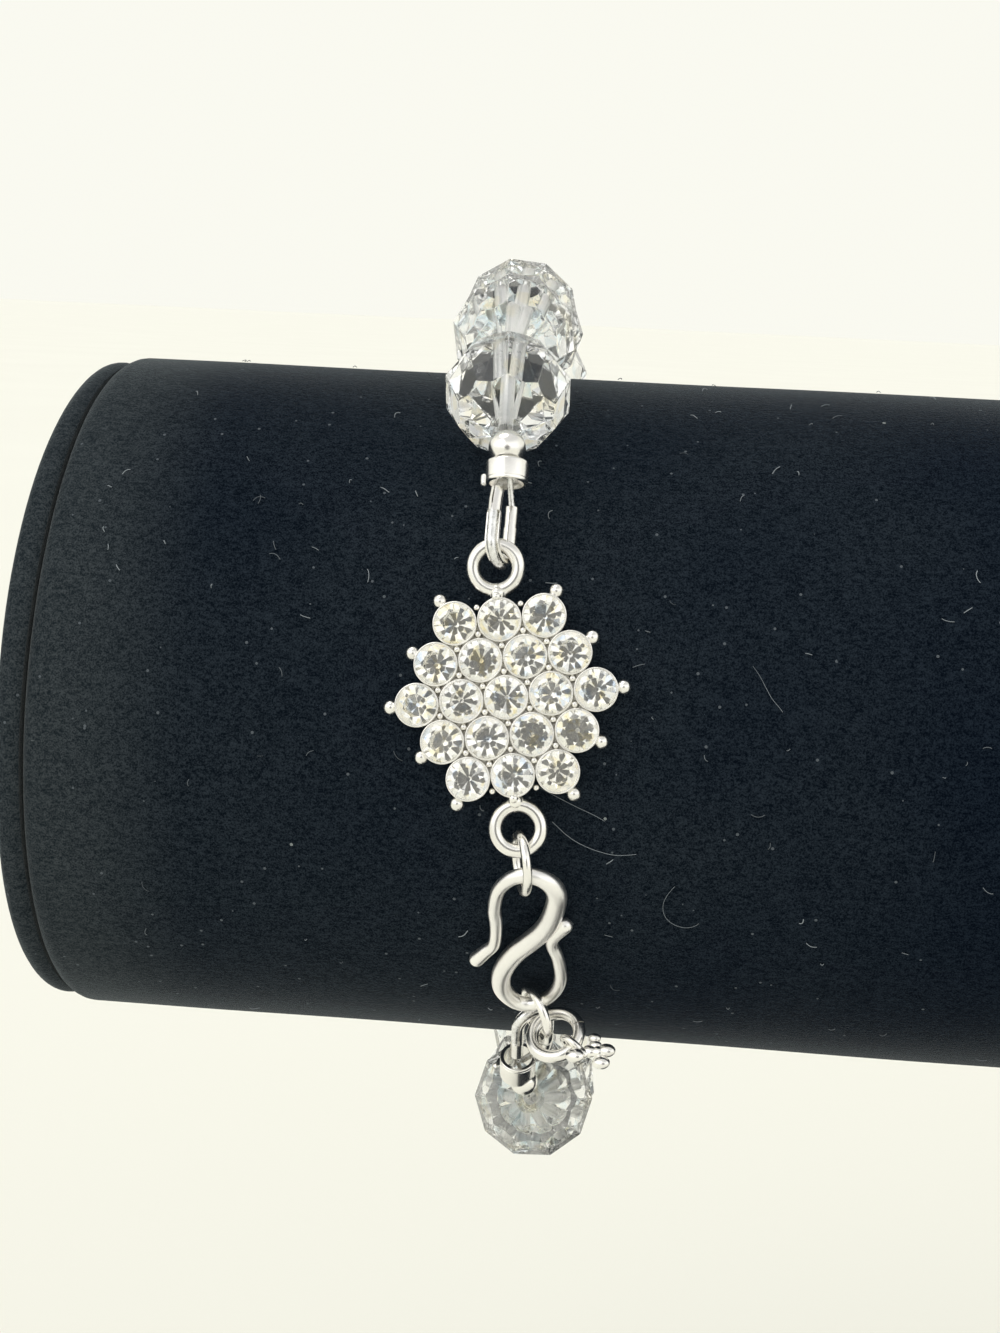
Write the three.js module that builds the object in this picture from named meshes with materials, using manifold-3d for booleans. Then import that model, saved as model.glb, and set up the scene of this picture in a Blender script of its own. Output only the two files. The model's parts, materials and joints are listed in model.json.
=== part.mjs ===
// Rhinestone bracelet on a velvet display roll.
// Millimetres, +Z up, -Y to the front, the roll along X, the origin under the middle of the stand's foot.

import * as THREE from 'three';
import { ConvexGeometry } from 'three/addons/geometries/ConvexGeometry.js';
import { mergeVertices } from 'three/addons/utils/BufferGeometryUtils.js';
import Module from 'manifold-3d';

const wasm = await Module();
wasm.setup();

// Stand: foot, post and round velvet arm.
const BASE = { width: 110, depth: 86, height: 14, corner: 12, bevel: 2, bevelSteps: 3, cornerSteps: 5 };
const POST = { width: 28, depth: 24, corner: 8, cornerSteps: 5 };
const ROLL = { radius: 28, halfLength: 98, axisHeight: 122, sides: 72, edge: 1.2 };
const CAP = { radius: 27.2, thickness: 4.2, rounding: 2.6, sides: 60, arcSteps: 4 };
const STAND_GAP = 0.3;

// The string of beads: a circle round the roll that hangs a little low and drifts sideways.
const BRACELET_X = -63;
const LOOP = { radius: 33.55, drop: 0.2, sideMean: 1.9, sideSwing: 2.6, sidePhase: 12 };
const BEADS = { count: 15, firstAngle: 56, lastAngle: 291 };
const BEAD = {
  folds: 10,
  halfLength: 4.55,
  girdleRadius: 5,
  holeRadius: 0.7,
  beltSlope: 22,
  shoulderSlope: 55,
  shoulderReach: 4.43,
  turn: 137.5,
};
const WIRE = { radius: 0.22, sides: 6, steps: 80 };

// Ends of the string: a ball, a crimp and a wire guard on each.
const BALL = { radius: 1.4, holeRadius: 0.7, sides: 16, arcSteps: 6 };
const CRIMP = { radius: 1.45, boreRadius: 1.15, length: 1.4, bevel: 0.15, sides: 18 };
const GUARD = { radius: 0.5, sides: 10, arcSteps: 9 };

// Flower setting: a hexagon of cups with a stone in each.
const FLOWER = { angle: 11.66, lean: 8.5, x: 1.85, back: 28.6, pitch: 3.3, rows: 2 };
const CUP = { radius: 1.66, base: 0.5, rim: 1.0, seatTop: 1.5, seatBottom: 0.4, bottom: 0.55, sides: 16 };
const TIP = { radius: 0.55, height: 0.65, cornerReach: 8.6, sideReach: 7.65, count: 12, sides: 10 };
const SETTING_RING = { distance: 9.6, midRadius: 1.675, wire: 0.525, wireSides: 8, sides: 28 };
const STONE = {
  girdle: 1.5,
  girdleLow: 1.25,
  girdleHigh: 1.38,
  table: 0.85,
  top: 1.95,
  culet: 0.8,
  culetRadius: 0.3,
  girdleSides: 16,
  tableSides: 8,
  turn: 17,
};

// Hook: rows run from the left-hand tip over the top arch and down to the right-hand tip.
const HOOK = { angle: -32.5, distance: 29.9, x: 4.2, rise: 3, steps: 66, sides: 10 };
const HOOK_ROWS = [
  { across: -3.9, up: -1.9, radius: 0.6 },
  { across: -3.25, up: -1.0, radius: 0.54 },
  { across: -2.6, up: -0.1, radius: 0.48 },
  { across: -2.4, up: 1.3, radius: 0.48 },
  { across: -2.4, up: 2.7, radius: 0.5 },
  { across: -2.5, up: 4.0, radius: 0.5 },
  { across: -2.2, up: 6.1, radius: 0.52 },
  { across: -1.4, up: 7.4, radius: 0.55 },
  { across: -0.4, up: 8.0, radius: 0.58 },
  { across: 0.8, up: 7.9, radius: 0.63 },
  { across: 1.8, up: 7.1, radius: 0.72 },
  { across: 2.15, up: 5.8, radius: 0.77 },
  { across: 1.8, up: 3.6, radius: 0.8 },
  { across: 1.1, up: 1.9, radius: 0.8 },
  { across: 0.1, up: 0.5, radius: 0.8 },
  { across: -0.9, up: -0.8, radius: 0.8 },
  { across: -1.7, up: -2.4, radius: 0.8 },
  { across: -2.05, up: -3.9, radius: 0.77 },
  { across: -1.9, up: -5.4, radius: 0.72 },
  { across: -1.0, up: -6.7, radius: 0.62 },
  { across: 0.1, up: -7.0, radius: 0.56 },
  { across: 1.2, up: -6.4, radius: 0.52 },
  { across: 2.2, up: -5.0, radius: 0.5 },
  { across: 2.55, up: -3.3, radius: 0.5 },
  { across: 2.3, up: -1.1, radius: 0.48 },
  { across: 1.85, up: 0.4, radius: 0.48 },
  { across: 2.0, up: 1.4, radius: 0.52 },
  { across: 2.8, up: 2.7, radius: 0.6 },
];

// Loose rings: the centre, then two directions in the ring's plane.
const RING_SIDES = { wire: 8, round: 28 };
const RINGS = {
  jump_ring_top: {
    centre: [3.7, -31, -5.9],
    first: [0.13, -0.06, -0.99],
    second: [0.26, -0.96, 0.09],
    mid: 2.1,
    wire: 0.35,
  },
  jump_ring_bottom: {
    centre: [5, -23.2, -20.2],
    first: [0.35, -0.1, -0.93],
    second: [0.35, -0.91, 0.24],
    mid: 2.15,
    wire: 0.37,
  },
  charm_ring: {
    centre: [6.6, -24.75, -21.15],
    first: [0.95, -0.31, 0.11],
    second: [0.16, 0.72, 0.67],
    mid: 1.9,
    wire: 0.5,
  },
};

// Ends of the string. Each guard loops round its ring at ringTurn, is pulled towards the beads, turns
// about the string and rocks in it. Ball and crimp lie at distances from the last bead, each shifted
// off the line.
const UPPER_END = {
  ringTurn: 74, pull: 0.15, arc: 1.5, leg: 3.2, twist: -22, rock: 5, strand: 0.7,
  ball: 1.66, ballLean: 1.5, ballShift: [0.2, 0, 0], crimp: 3.42, crimpShift: [0.3, -0.4, 0.18],
};
const LOWER_END = {
  ringTurn: -66, pull: 0, arc: 1.36, leg: 3.1, twist: 0, rock: 0, strand: 0.7,
  ball: 2.2, ballLean: 3, ballShift: [-0.5, 0, 0], crimp: 4.7, crimpShift: [-1.1, 0, 0],
};

// Charm: a bail round the charm ring's wire and a cluster of cast petals, in the charm ring's own
// directions.
const CHARM = { ringTurn: -28, bailMid: 1.02, bailWire: 0.27, wireSides: 8, sides: 18, petalSides: 10 };
const PETALS = [
  { right: 0.65, up: -1.15, lift: 0.8, radius: 0.6 },
  { right: 1.1, up: -0.85, lift: 0.65, radius: 0.42 },
  { right: 1.6, up: -0.55, lift: 0.5, radius: 0.5 },
  { right: 1.9, up: 0.05, lift: 0.4, radius: 0.4 },
  { right: 1.7, up: 0.65, lift: 0.4, radius: 0.4 },
  { right: 2.25, up: -0.5, lift: 0.45, radius: 0.48 },
  { right: 2.9, up: -0.3, lift: 0.4, radius: 0.55 },
  { right: 2.65, up: -1.3, lift: 0.3, radius: 0.55 },
];

const rad = THREE.MathUtils.degToRad;
const WELD = 1e-4;
const DOME_STEPS = [0.35, 0.75];
const ANGLE_STEP = 0.5;
const Y_AXIS = new THREE.Vector3(0, 1, 0);

const FINISHES = {
  velvet: { color: 0x0b0e15, roughness: 0.95, metalness: 0 },
  crystal: { color: 0xf2f5f6, roughness: 0.03, metalness: 0 },
  rhinestone: { color: 0xd9dcde, roughness: 0.05, metalness: 0.3 },
  brightSilver: { color: 0xdcdcd8, roughness: 0.12, metalness: 1 },
  satinSilver: { color: 0xd9d7d1, roughness: 0.35, metalness: 1 },
  wire: { color: 0xcfcfcc, roughness: 0.3, metalness: 1 },
};
const materials = Object.fromEntries(
  Object.entries(FINISHES).map(([name, finish]) => [name, new THREE.MeshStandardMaterial(finish)]),
);

function part(name, geometry, material) {
  const mesh = new THREE.Mesh(geometry, material);
  mesh.name = name;
  return mesh;
}

// Joining and cutting of closed meshes.
function toSolid(geometry) {
  const bare = geometry.clone();
  bare.deleteAttribute('normal');
  bare.deleteAttribute('uv');
  const merged = mergeVertices(bare, WELD);
  const vertProperties = merged.attributes.position.array;
  const triVerts = new Uint32Array(merged.index.array);
  return new wasm.Manifold(new wasm.Mesh({ numProp: 3, vertProperties, triVerts }));
}

function toGeometry(solid) {
  const mesh = solid.getMesh();
  const geometry = new THREE.BufferGeometry();
  geometry.setAttribute('position', new THREE.BufferAttribute(mesh.vertProperties, mesh.numProp));
  geometry.setIndex(new THREE.BufferAttribute(mesh.triVerts, 1));
  geometry.computeVertexNormals();
  return geometry;
}

function join(geometries) {
  const solid = geometries.map(toSolid).reduce((whole, piece) => whole.add(piece));
  return toGeometry(solid);
}

// Basic shapes.
function vector(values) {
  return new THREE.Vector3(...values);
}

function roundedRectangle(width, depth, corner) {
  const x = width / 2 - corner;
  const y = depth / 2 - corner;
  const shape = new THREE.Shape();
  shape.absarc(x, y, corner, 0, Math.PI / 2);
  shape.absarc(-x, y, corner, Math.PI / 2, Math.PI);
  shape.absarc(-x, -y, corner, Math.PI, 1.5 * Math.PI);
  shape.absarc(x, -y, corner, 1.5 * Math.PI, 2 * Math.PI);
  return shape;
}

function polygonShape(sides, radius) {
  const corners = Array.from({ length: sides }, (_, i) => {
    const a = (2 * Math.PI * i) / sides;
    return new THREE.Vector2(radius * Math.cos(a), radius * Math.sin(a));
  });
  return new THREE.Shape(corners);
}

function lathe(points, sides) {
  return new THREE.LatheGeometry(points.map(([r, h]) => new THREE.Vector2(r, h)), sides);
}

function ball(radius, centre, sides) {
  const sphere = new THREE.SphereGeometry(radius, sides, Math.round(sides / 2));
  return sphere.translate(centre.x, centre.y, centre.z);
}

function basis(x, y, z) {
  return new THREE.Quaternion().setFromRotationMatrix(new THREE.Matrix4().makeBasis(x, y, z));
}

function anyAcross(along) {
  const helper = Math.abs(along.x) < 0.9 ? new THREE.Vector3(1, 0, 0) : new THREE.Vector3(0, 1, 0);
  return helper.addScaledVector(along, -helper.dot(along)).normalize();
}

// A round bar through a row of points, each with its own radius, with domed ends.
function bar(points, radii, sides) {
  const stations = [];
  const last = points.length - 1;
  const direction = (i) => {
    const [before, after] = [points[Math.max(i - 1, 0)], points[Math.min(i + 1, last)]];
    return after.clone().sub(before).normalize();
  };
  let across = anyAcross(direction(0));
  const addStation = (centre, along, radius) => {
    across = across.clone().addScaledVector(along, -across.dot(along)).normalize();
    stations.push({ centre, radius, across, other: new THREE.Vector3().crossVectors(along, across) });
  };
  const domed = (end, along, radius, sign) => DOME_STEPS.forEach((step, i) => {
    const reach = sign > 0 ? step : DOME_STEPS[DOME_STEPS.length - 1 - i];
    const centre = end.clone().addScaledVector(along, sign * radius * reach);
    addStation(centre, along, radius * Math.sqrt(1 - reach * reach));
  });
  domed(points[0], direction(0), radii[0], -1);
  points.forEach((point, i) => addStation(point, direction(i), radii[i]));
  domed(points[last], direction(last), radii[last], 1);

  const positions = stations.flatMap(({ centre, radius, across: a, other }) => (
    Array.from({ length: sides }, (_, k) => {
      const turn = (2 * Math.PI * k) / sides;
      const offset = a.clone().multiplyScalar(Math.cos(turn)).addScaledVector(other, Math.sin(turn));
      return centre.clone().addScaledVector(offset, radius).toArray();
    }).flat()
  ));
  const first = points[0].clone().addScaledVector(direction(0), -radii[0]);
  const final = points[last].clone().addScaledVector(direction(last), radii[last]);
  positions.push(...first.toArray(), ...final.toArray());

  const index = [];
  const count = stations.length;
  for (let s = 0; s < count - 1; s += 1) {
    for (let k = 0; k < sides; k += 1) {
      const next = (k + 1) % sides;
      const [a, b] = [s * sides + k, s * sides + next];
      index.push(a, b, a + sides, b, b + sides, a + sides);
    }
  }
  for (let k = 0; k < sides; k += 1) {
    const next = (k + 1) % sides;
    index.push(count * sides, next, k);
    index.push(count * sides + 1, (count - 1) * sides + k, (count - 1) * sides + next);
  }
  const geometry = new THREE.BufferGeometry();
  geometry.setAttribute('position', new THREE.Float32BufferAttribute(positions, 3));
  geometry.setIndex(index);
  geometry.computeVertexNormals();
  return geometry;
}

// ---- Stand ----

function standBase() {
  const { width, depth, height, corner, bevel, bevelSteps, cornerSteps } = BASE;
  const outline = roundedRectangle(width - 2 * bevel, depth - 2 * bevel, corner - bevel);
  const geometry = new THREE.ExtrudeGeometry(outline, {
    depth: height - 2 * bevel,
    bevelThickness: bevel,
    bevelSize: bevel,
    bevelSegments: bevelSteps,
    curveSegments: cornerSteps,
  });
  return part('stand_base', geometry.translate(0, 0, bevel), materials.velvet);
}

function standPost() {
  const bottom = BASE.height + STAND_GAP;
  const shape = roundedRectangle(POST.width, POST.depth, POST.corner);
  const block = new THREE.ExtrudeGeometry(shape, {
    depth: ROLL.axisHeight - bottom,
    bevelEnabled: false,
    curveSegments: POST.cornerSteps,
  }).translate(0, 0, bottom);
  const hollow = ROLL.radius + STAND_GAP;
  const saddle = new THREE.CylinderGeometry(hollow, hollow, 2 * POST.width, ROLL.sides)
    .rotateZ(Math.PI / 2)
    .translate(0, 0, ROLL.axisHeight);
  const geometry = toGeometry(toSolid(block).subtract(toSolid(saddle)));
  return part('stand_post', geometry, materials.velvet);
}

function displayRoll() {
  const { radius, halfLength, edge, sides } = ROLL;
  const profile = [
    [0, -halfLength], [radius - edge, -halfLength], [radius, edge - halfLength],
    [radius, halfLength - edge], [radius - edge, halfLength], [0, halfLength],
  ];
  const geometry = lathe(profile, sides).rotateZ(-Math.PI / 2).translate(0, 0, ROLL.axisHeight);
  return part('display_roll', geometry, materials.velvet);
}

function rollCap(name, sign) {
  const { radius, thickness, rounding, sides, arcSteps } = CAP;
  const arc = Array.from({ length: arcSteps + 1 }, (_, i) => {
    const a = (Math.PI * i) / (2 * arcSteps);
    return [radius - rounding + rounding * Math.cos(a), thickness - rounding + rounding * Math.sin(a)];
  });
  const geometry = lathe([[0, 0], [radius, 0], ...arc, [0, thickness]], sides).rotateZ(-sign * Math.PI / 2);
  geometry.translate(sign * (ROLL.halfLength + STAND_GAP), 0, ROLL.axisHeight);
  return part(name, geometry, materials.velvet);
}

// ---- String of beads ----

// A place on the bead circle, in the loop's frame: angle 0 faces front and 90 is the top.
function onLoop(angle) {
  const a = rad(angle);
  const x = LOOP.sideMean + LOOP.sideSwing * Math.sin(rad(LOOP.sidePhase) - a);
  return new THREE.Vector3(x, -LOOP.radius * Math.cos(a), LOOP.radius * Math.sin(a) - LOOP.drop);
}

function loopDirection(angle) {
  return onLoop(angle + ANGLE_STEP).sub(onLoop(angle - ANGLE_STEP)).normalize();
}

function beadAngle(i) {
  return BEADS.firstAngle + ((BEADS.lastAngle - BEADS.firstAngle) * i) / (BEADS.count - 1);
}

// One end of a bead's hole, with the bead's axis pointing back into the bead.
function beadEnd(angle, end) {
  const direction = loopDirection(angle);
  return {
    end: onLoop(angle).addScaledVector(direction, end * BEAD.halfLength),
    axis: direction.multiplyScalar(-end),
  };
}

// Where two slanting facets meet: r * a + h * b = c for both.
function meet([a1, b1, c1], [a2, b2, c2]) {
  const d = a1 * b2 - a2 * b1;
  return [(c1 * b2 - c2 * b1) / d, (a1 * c2 - a2 * c1) / d];
}

// A cut bead: a belt facet and a shoulder facet to each fold, on both halves, and a drilled hole.
function beadGeometry() {
  const { folds, halfLength, girdleRadius, beltSlope, shoulderSlope, shoulderReach } = BEAD;
  const halfStep = Math.cos(Math.PI / folds);
  const [beltCos, beltSin] = [Math.cos(rad(beltSlope)), Math.sin(rad(beltSlope))];
  const [topCos, topSin] = [Math.cos(rad(shoulderSlope)), Math.sin(rad(shoulderSlope))];
  const beltReach = girdleRadius * halfStep * beltCos;
  const onEdge = meet([beltCos * halfStep, beltSin, beltReach], [topCos, topSin, shoulderReach]);
  const onBelt = meet([beltCos, beltSin, beltReach], [topCos * halfStep, topSin, shoulderReach]);
  const flatRadius = (shoulderReach - halfLength * topSin) / (topCos * halfStep);
  const rings = [
    { r: girdleRadius, h: 0, shift: 0.5 },
    { r: onEdge[0], h: onEdge[1], shift: 0.5 },
    { r: onBelt[0], h: onBelt[1], shift: 0 },
    { r: flatRadius, h: halfLength, shift: 0 },
  ];
  const corners = rings.flatMap(({ r, h, shift }) => (
    Array.from({ length: folds }, (_, i) => {
      const a = (2 * Math.PI * (i + shift)) / folds;
      const place = (height) => new THREE.Vector3(r * Math.cos(a), height, r * Math.sin(a));
      return h > 0 ? [place(h), place(-h)] : [place(h)];
    }).flat()
  ));
  const hole = new THREE.CylinderGeometry(BEAD.holeRadius, BEAD.holeRadius, 3 * halfLength, folds);
  return toGeometry(toSolid(new ConvexGeometry(corners)).subtract(toSolid(hole)));
}

function beads() {
  const geometry = beadGeometry();
  return Array.from({ length: BEADS.count }, (_, i) => {
    const angle = beadAngle(i);
    const bead = part(`crystal_bead_${String(i + 1).padStart(2, '0')}`, geometry, materials.crystal);
    bead.position.copy(onLoop(angle));
    bead.quaternion.setFromUnitVectors(Y_AXIS, loopDirection(angle));
    bead.rotateY(i * rad(BEAD.turn));
    return bead;
  });
}

function spacerBall(name) {
  const { radius, holeRadius, sides, arcSteps } = BALL;
  const start = Math.acos(holeRadius / radius);
  const arc = Array.from({ length: arcSteps + 1 }, (_, i) => {
    const a = start * ((2 * i) / arcSteps - 1);
    return [radius * Math.cos(a), radius * Math.sin(a)];
  });
  return part(name, lathe([...arc, arc[0]], sides), materials.brightSilver);
}

function crimpTube(name) {
  const { radius, boreRadius, length, bevel, sides } = CRIMP;
  const half = length / 2;
  const profile = [
    [boreRadius, -half], [radius - bevel, -half], [radius, bevel - half], [radius, half - bevel],
    [radius - bevel, half], [boreRadius, half], [boreRadius, -half],
  ];
  return part(name, lathe(profile, sides), materials.brightSilver);
}

// One end of the string, from the hole of its last bead to the wire of the ring it loops round.
// The ball sits in the bend between the bead's hole and the crimp.
function stringEnd(suffix, bead, ringPlace, ringTangent, end) {
  const along = bead.end.clone().sub(ringPlace).normalize();
  const side = ringTangent.clone().addScaledVector(along, -ringTangent.dot(along)).normalize();
  side.applyAxisAngle(along, rad(end.twist));
  const outward = new THREE.Vector3().crossVectors(side, along);

  const spacer = spacerBall(`spacer_ball_${suffix}`);
  const between = bead.axis.clone().addScaledVector(along, end.ballLean).normalize();
  spacer.position.copy(bead.end).addScaledVector(between, -end.ball).add(vector(end.ballShift));
  spacer.quaternion.setFromUnitVectors(Y_AXIS, along);

  const crimp = crimpTube(`crimp_tube_${suffix}`);
  crimp.position.copy(bead.end).addScaledVector(along, -end.crimp).add(vector(end.crimpShift));
  crimp.quaternion.setFromUnitVectors(Y_AXIS, along);

  const hoop = ringPlace.clone().addScaledVector(along, end.pull);
  const [c, s] = [Math.cos(rad(end.rock)), Math.sin(rad(end.rock))];
  const guardUp = along.clone().multiplyScalar(c).addScaledVector(outward, -s);
  const guardOut = outward.clone().multiplyScalar(c).addScaledVector(along, s);
  const at = (out, up) => hoop.clone().addScaledVector(guardOut, out).addScaledVector(guardUp, up);
  const bend = Array.from({ length: GUARD.arcSteps + 1 }, (_, i) => {
    const a = (Math.PI * i) / GUARD.arcSteps;
    return at(end.arc * Math.cos(a), -end.arc * Math.sin(a));
  });
  const route = [at(end.arc, end.leg), ...bend, at(-end.arc, end.leg)];
  const tube = bar(route, route.map(() => GUARD.radius), GUARD.sides);
  const guard = part(`wire_guard_${suffix}`, tube, materials.brightSilver);

  const [mouth, farMouth] = [-1, 1].map((sign) => (
    crimp.position.clone().addScaledVector(along, (sign * CRIMP.length) / 2)
  ));
  const strandEnd = at(-end.arc, end.leg + GUARD.radius).sub(mouth).setLength(end.strand).add(mouth);
  const wirePoints = [strandEnd, mouth, farMouth, spacer.position.clone()];
  return { pieces: [spacer, crimp, guard], wirePoints };
}

function beadingWire(upperPoints, lowerPoints) {
  const through = Array.from({ length: BEADS.count }, (_, i) => (
    [-1, 1].map((end) => beadEnd(beadAngle(i), end).end)
  )).flat();
  const curve = new THREE.CatmullRomCurve3([...upperPoints, ...through, ...lowerPoints.slice().reverse()]);
  const geometry = new THREE.ExtrudeGeometry(polygonShape(WIRE.sides, WIRE.radius), {
    steps: WIRE.steps,
    bevelEnabled: false,
    extrudePath: curve,
  });
  return part('beading_wire', geometry, materials.wire);
}

// ---- Flower setting and stones ----

function flowerFrame() {
  const a = rad(FLOWER.angle);
  const out = new THREE.Vector3(0, -Math.cos(a), Math.sin(a));
  const across = new THREE.Vector3(1, 0, 0).applyAxisAngle(out, rad(FLOWER.lean));
  const up = new THREE.Vector3().crossVectors(out, across);
  const origin = new THREE.Vector3(FLOWER.x, 0, 0).addScaledVector(out, FLOWER.back);
  return { origin, across, up, out };
}

// A place on the wire of the setting's upper ring; turn 90 is its top.
function onSettingRing({ origin, across, up, out }, turn) {
  const [c, s] = [Math.cos(rad(turn)), Math.sin(rad(turn))];
  const { distance, midRadius, wire } = SETTING_RING;
  const place = origin.clone().addScaledVector(up, distance + midRadius * s);
  place.addScaledVector(across, midRadius * c).addScaledVector(out, wire);
  const tangent = across.clone().multiplyScalar(s).addScaledVector(up, -c);
  return { place, tangent };
}

// Places of the stones on a hexagonal grid: rows of 3, 4, 5, 4 and 3.
function stonePlaces() {
  const { pitch, rows } = FLOWER;
  const places = [];
  for (let row = rows; row >= -rows; row -= 1) {
    const count = 2 * rows + 1 - Math.abs(row);
    for (let i = 0; i < count; i += 1) {
      places.push(new THREE.Vector2((i - (count - 1) / 2) * pitch, row * pitch * Math.sin(Math.PI / 3)));
    }
  }
  return places;
}

function cup(place) {
  const { radius, rim, seatTop, seatBottom, bottom, sides } = CUP;
  const profile = [[0, 0], [radius, 0], [radius, rim], [seatTop, rim], [seatBottom, bottom], [0, bottom]];
  return lathe(profile, sides).rotateX(Math.PI / 2).translate(place.x, place.y, 0);
}

// A ball tip stands outside every outer stone, farther out at the six corners.
function tips() {
  return Array.from({ length: TIP.count }, (_, i) => {
    const reach = i % 2 ? TIP.sideReach : TIP.cornerReach;
    const a = (2 * Math.PI * i) / TIP.count;
    return ball(TIP.radius, vector([reach * Math.cos(a), reach * Math.sin(a), TIP.height]), TIP.sides);
  });
}

function flowerSetting() {
  const outline = polygonShape(6, FLOWER.rows * FLOWER.pitch);
  const plate = new THREE.ExtrudeGeometry(outline, { depth: CUP.base, bevelEnabled: false });
  const { distance, midRadius, wire, wireSides, sides } = SETTING_RING;
  const ends = [1, -1].map((sign) => (
    new THREE.TorusGeometry(midRadius, wire, wireSides, sides).translate(0, sign * distance, wire)
  ));
  const geometry = join([plate, ...stonePlaces().map(cup), ...tips(), ...ends]);
  return part('flower_setting', geometry, materials.brightSilver);
}

// A round stone: eight crown facets round a flat table, a thin girdle and a cone below.
function stoneGeometry() {
  const { girdle, girdleLow, girdleHigh, table, top, culet, culetRadius, girdleSides, tableSides } = STONE;
  const ring = (count, radius, height, shift) => Array.from({ length: count }, (_, i) => {
    const a = (2 * Math.PI * (i + shift)) / count;
    return new THREE.Vector3(radius * Math.cos(a), radius * Math.sin(a), height);
  });
  return new ConvexGeometry([
    ...ring(girdleSides, girdle, girdleLow, 0),
    ...ring(girdleSides, girdle, girdleHigh, 0),
    ...ring(tableSides, table, top, 0.5),
    ...ring(tableSides, culetRadius, culet, 0.5),
  ]);
}

function rhinestones() {
  const geometry = stoneGeometry();
  return stonePlaces().map((place, i) => {
    const stone = part(`rhinestone_${String(i + 1).padStart(2, '0')}`, geometry, materials.rhinestone);
    stone.position.set(place.x, place.y, 0);
    stone.rotation.z = rad(STONE.turn * i);
    return stone;
  });
}

// ---- Hook, loose rings and charm ----

function sHook() {
  const a = rad(HOOK.angle);
  const out = new THREE.Vector3(0, -Math.cos(a), Math.sin(a));
  const up = new THREE.Vector3(0, Math.sin(a), Math.cos(a));
  const centre = new THREE.Vector3(HOOK.x, 0, 0);
  centre.addScaledVector(out, HOOK.distance).addScaledVector(up, HOOK.rise);
  const rows = HOOK_ROWS.map(({ across, up: height, radius }) => new THREE.Vector3(across, height, radius));
  const stations = new THREE.CatmullRomCurve3(rows).getSpacedPoints(HOOK.steps);
  const points = stations.map(({ x, y }) => new THREE.Vector3(x, 0, 0).addScaledVector(up, y).add(centre));
  return part('s_hook', bar(points, stations.map(({ z }) => z), HOOK.sides), materials.satinSilver);
}

function ringFrame({ centre, first, second }) {
  const x = vector(first).normalize();
  const z = new THREE.Vector3().crossVectors(x, vector(second)).normalize();
  const y = new THREE.Vector3().crossVectors(z, x);
  return { origin: vector(centre), x, y, z };
}

function onRing(row, turn) {
  const { origin, x, y } = ringFrame(row);
  const [c, s] = [Math.cos(rad(turn)), Math.sin(rad(turn))];
  return {
    place: origin.clone().addScaledVector(x, row.mid * c).addScaledVector(y, row.mid * s),
    outward: x.clone().multiplyScalar(c).addScaledVector(y, s),
    tangent: y.clone().multiplyScalar(c).addScaledVector(x, -s),
  };
}

function looseRing(name) {
  const row = RINGS[name];
  const { origin, x, y, z } = ringFrame(row);
  const geometry = new THREE.TorusGeometry(row.mid, row.wire, RING_SIDES.wire, RING_SIDES.round);
  const ring = part(name, geometry, materials.brightSilver);
  ring.position.copy(origin);
  ring.quaternion.copy(basis(x, y, z));
  return ring;
}

function flowerCharm() {
  const { ringTurn, bailMid, bailWire, wireSides, sides, petalSides } = CHARM;
  const bail = new THREE.TorusGeometry(bailMid, bailWire, wireSides, sides);
  bail.rotateX(Math.PI / 2).rotateZ(rad(ringTurn));
  const petals = PETALS.map(({ right, up, lift, radius }) => (
    ball(radius, vector([right, up, lift]), petalSides)
  ));
  const charm = part('flower_charm', join([bail, ...petals]), materials.brightSilver);
  const { x, y, z } = ringFrame(RINGS.charm_ring);
  charm.position.copy(onRing(RINGS.charm_ring, ringTurn).place);
  charm.quaternion.copy(basis(x, y, z));
  return charm;
}

// ---- Whole bracelet ----

function bracelet() {
  const group = new THREE.Group();
  group.position.set(BRACELET_X, 0, ROLL.axisHeight);
  const { origin, across, up, out } = flowerFrame();

  const flower = new THREE.Group();
  flower.position.copy(origin);
  flower.quaternion.copy(basis(across, up, out));
  flower.add(flowerSetting(), ...rhinestones());

  const firstBead = beadEnd(BEADS.firstAngle, -1);
  const upperRing = onSettingRing({ origin, across, up, out }, UPPER_END.ringTurn);
  const upper = stringEnd('top', firstBead, upperRing.place, upperRing.tangent, UPPER_END);
  const lastBead = beadEnd(BEADS.lastAngle, 1);
  const lowerRing = onRing(RINGS.jump_ring_bottom, LOWER_END.ringTurn);
  const lower = stringEnd('bottom', lastBead, lowerRing.place, lowerRing.tangent, LOWER_END);

  group.add(
    flower,
    ...beads(),
    ...upper.pieces,
    ...lower.pieces,
    beadingWire(upper.wirePoints, lower.wirePoints),
    sHook(),
    ...Object.keys(RINGS).map(looseRing),
    flowerCharm(),
  );
  return group;
}

function stand() {
  const group = new THREE.Group();
  group.add(standBase(), standPost(), displayRoll());
  group.add(rollCap('roll_cap_left', -1), rollCap('roll_cap_right', 1));
  return group;
}

const model = new THREE.Group();
model.add(stand(), bracelet());
export default model;
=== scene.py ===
"""Rhinestone bracelet on a velvet display roll: its visible pieces, finishes, studio and camera.

Shapes are made in millimetres and go to metres when they become pieces. The bracelet's own
origin is on the roll's axis, with +Z up, -Y to the front and the roll along X.
"""
import json
import math
import random

import bmesh
import bpy
from mathutils import Matrix, Quaternion, Vector, noise

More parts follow.
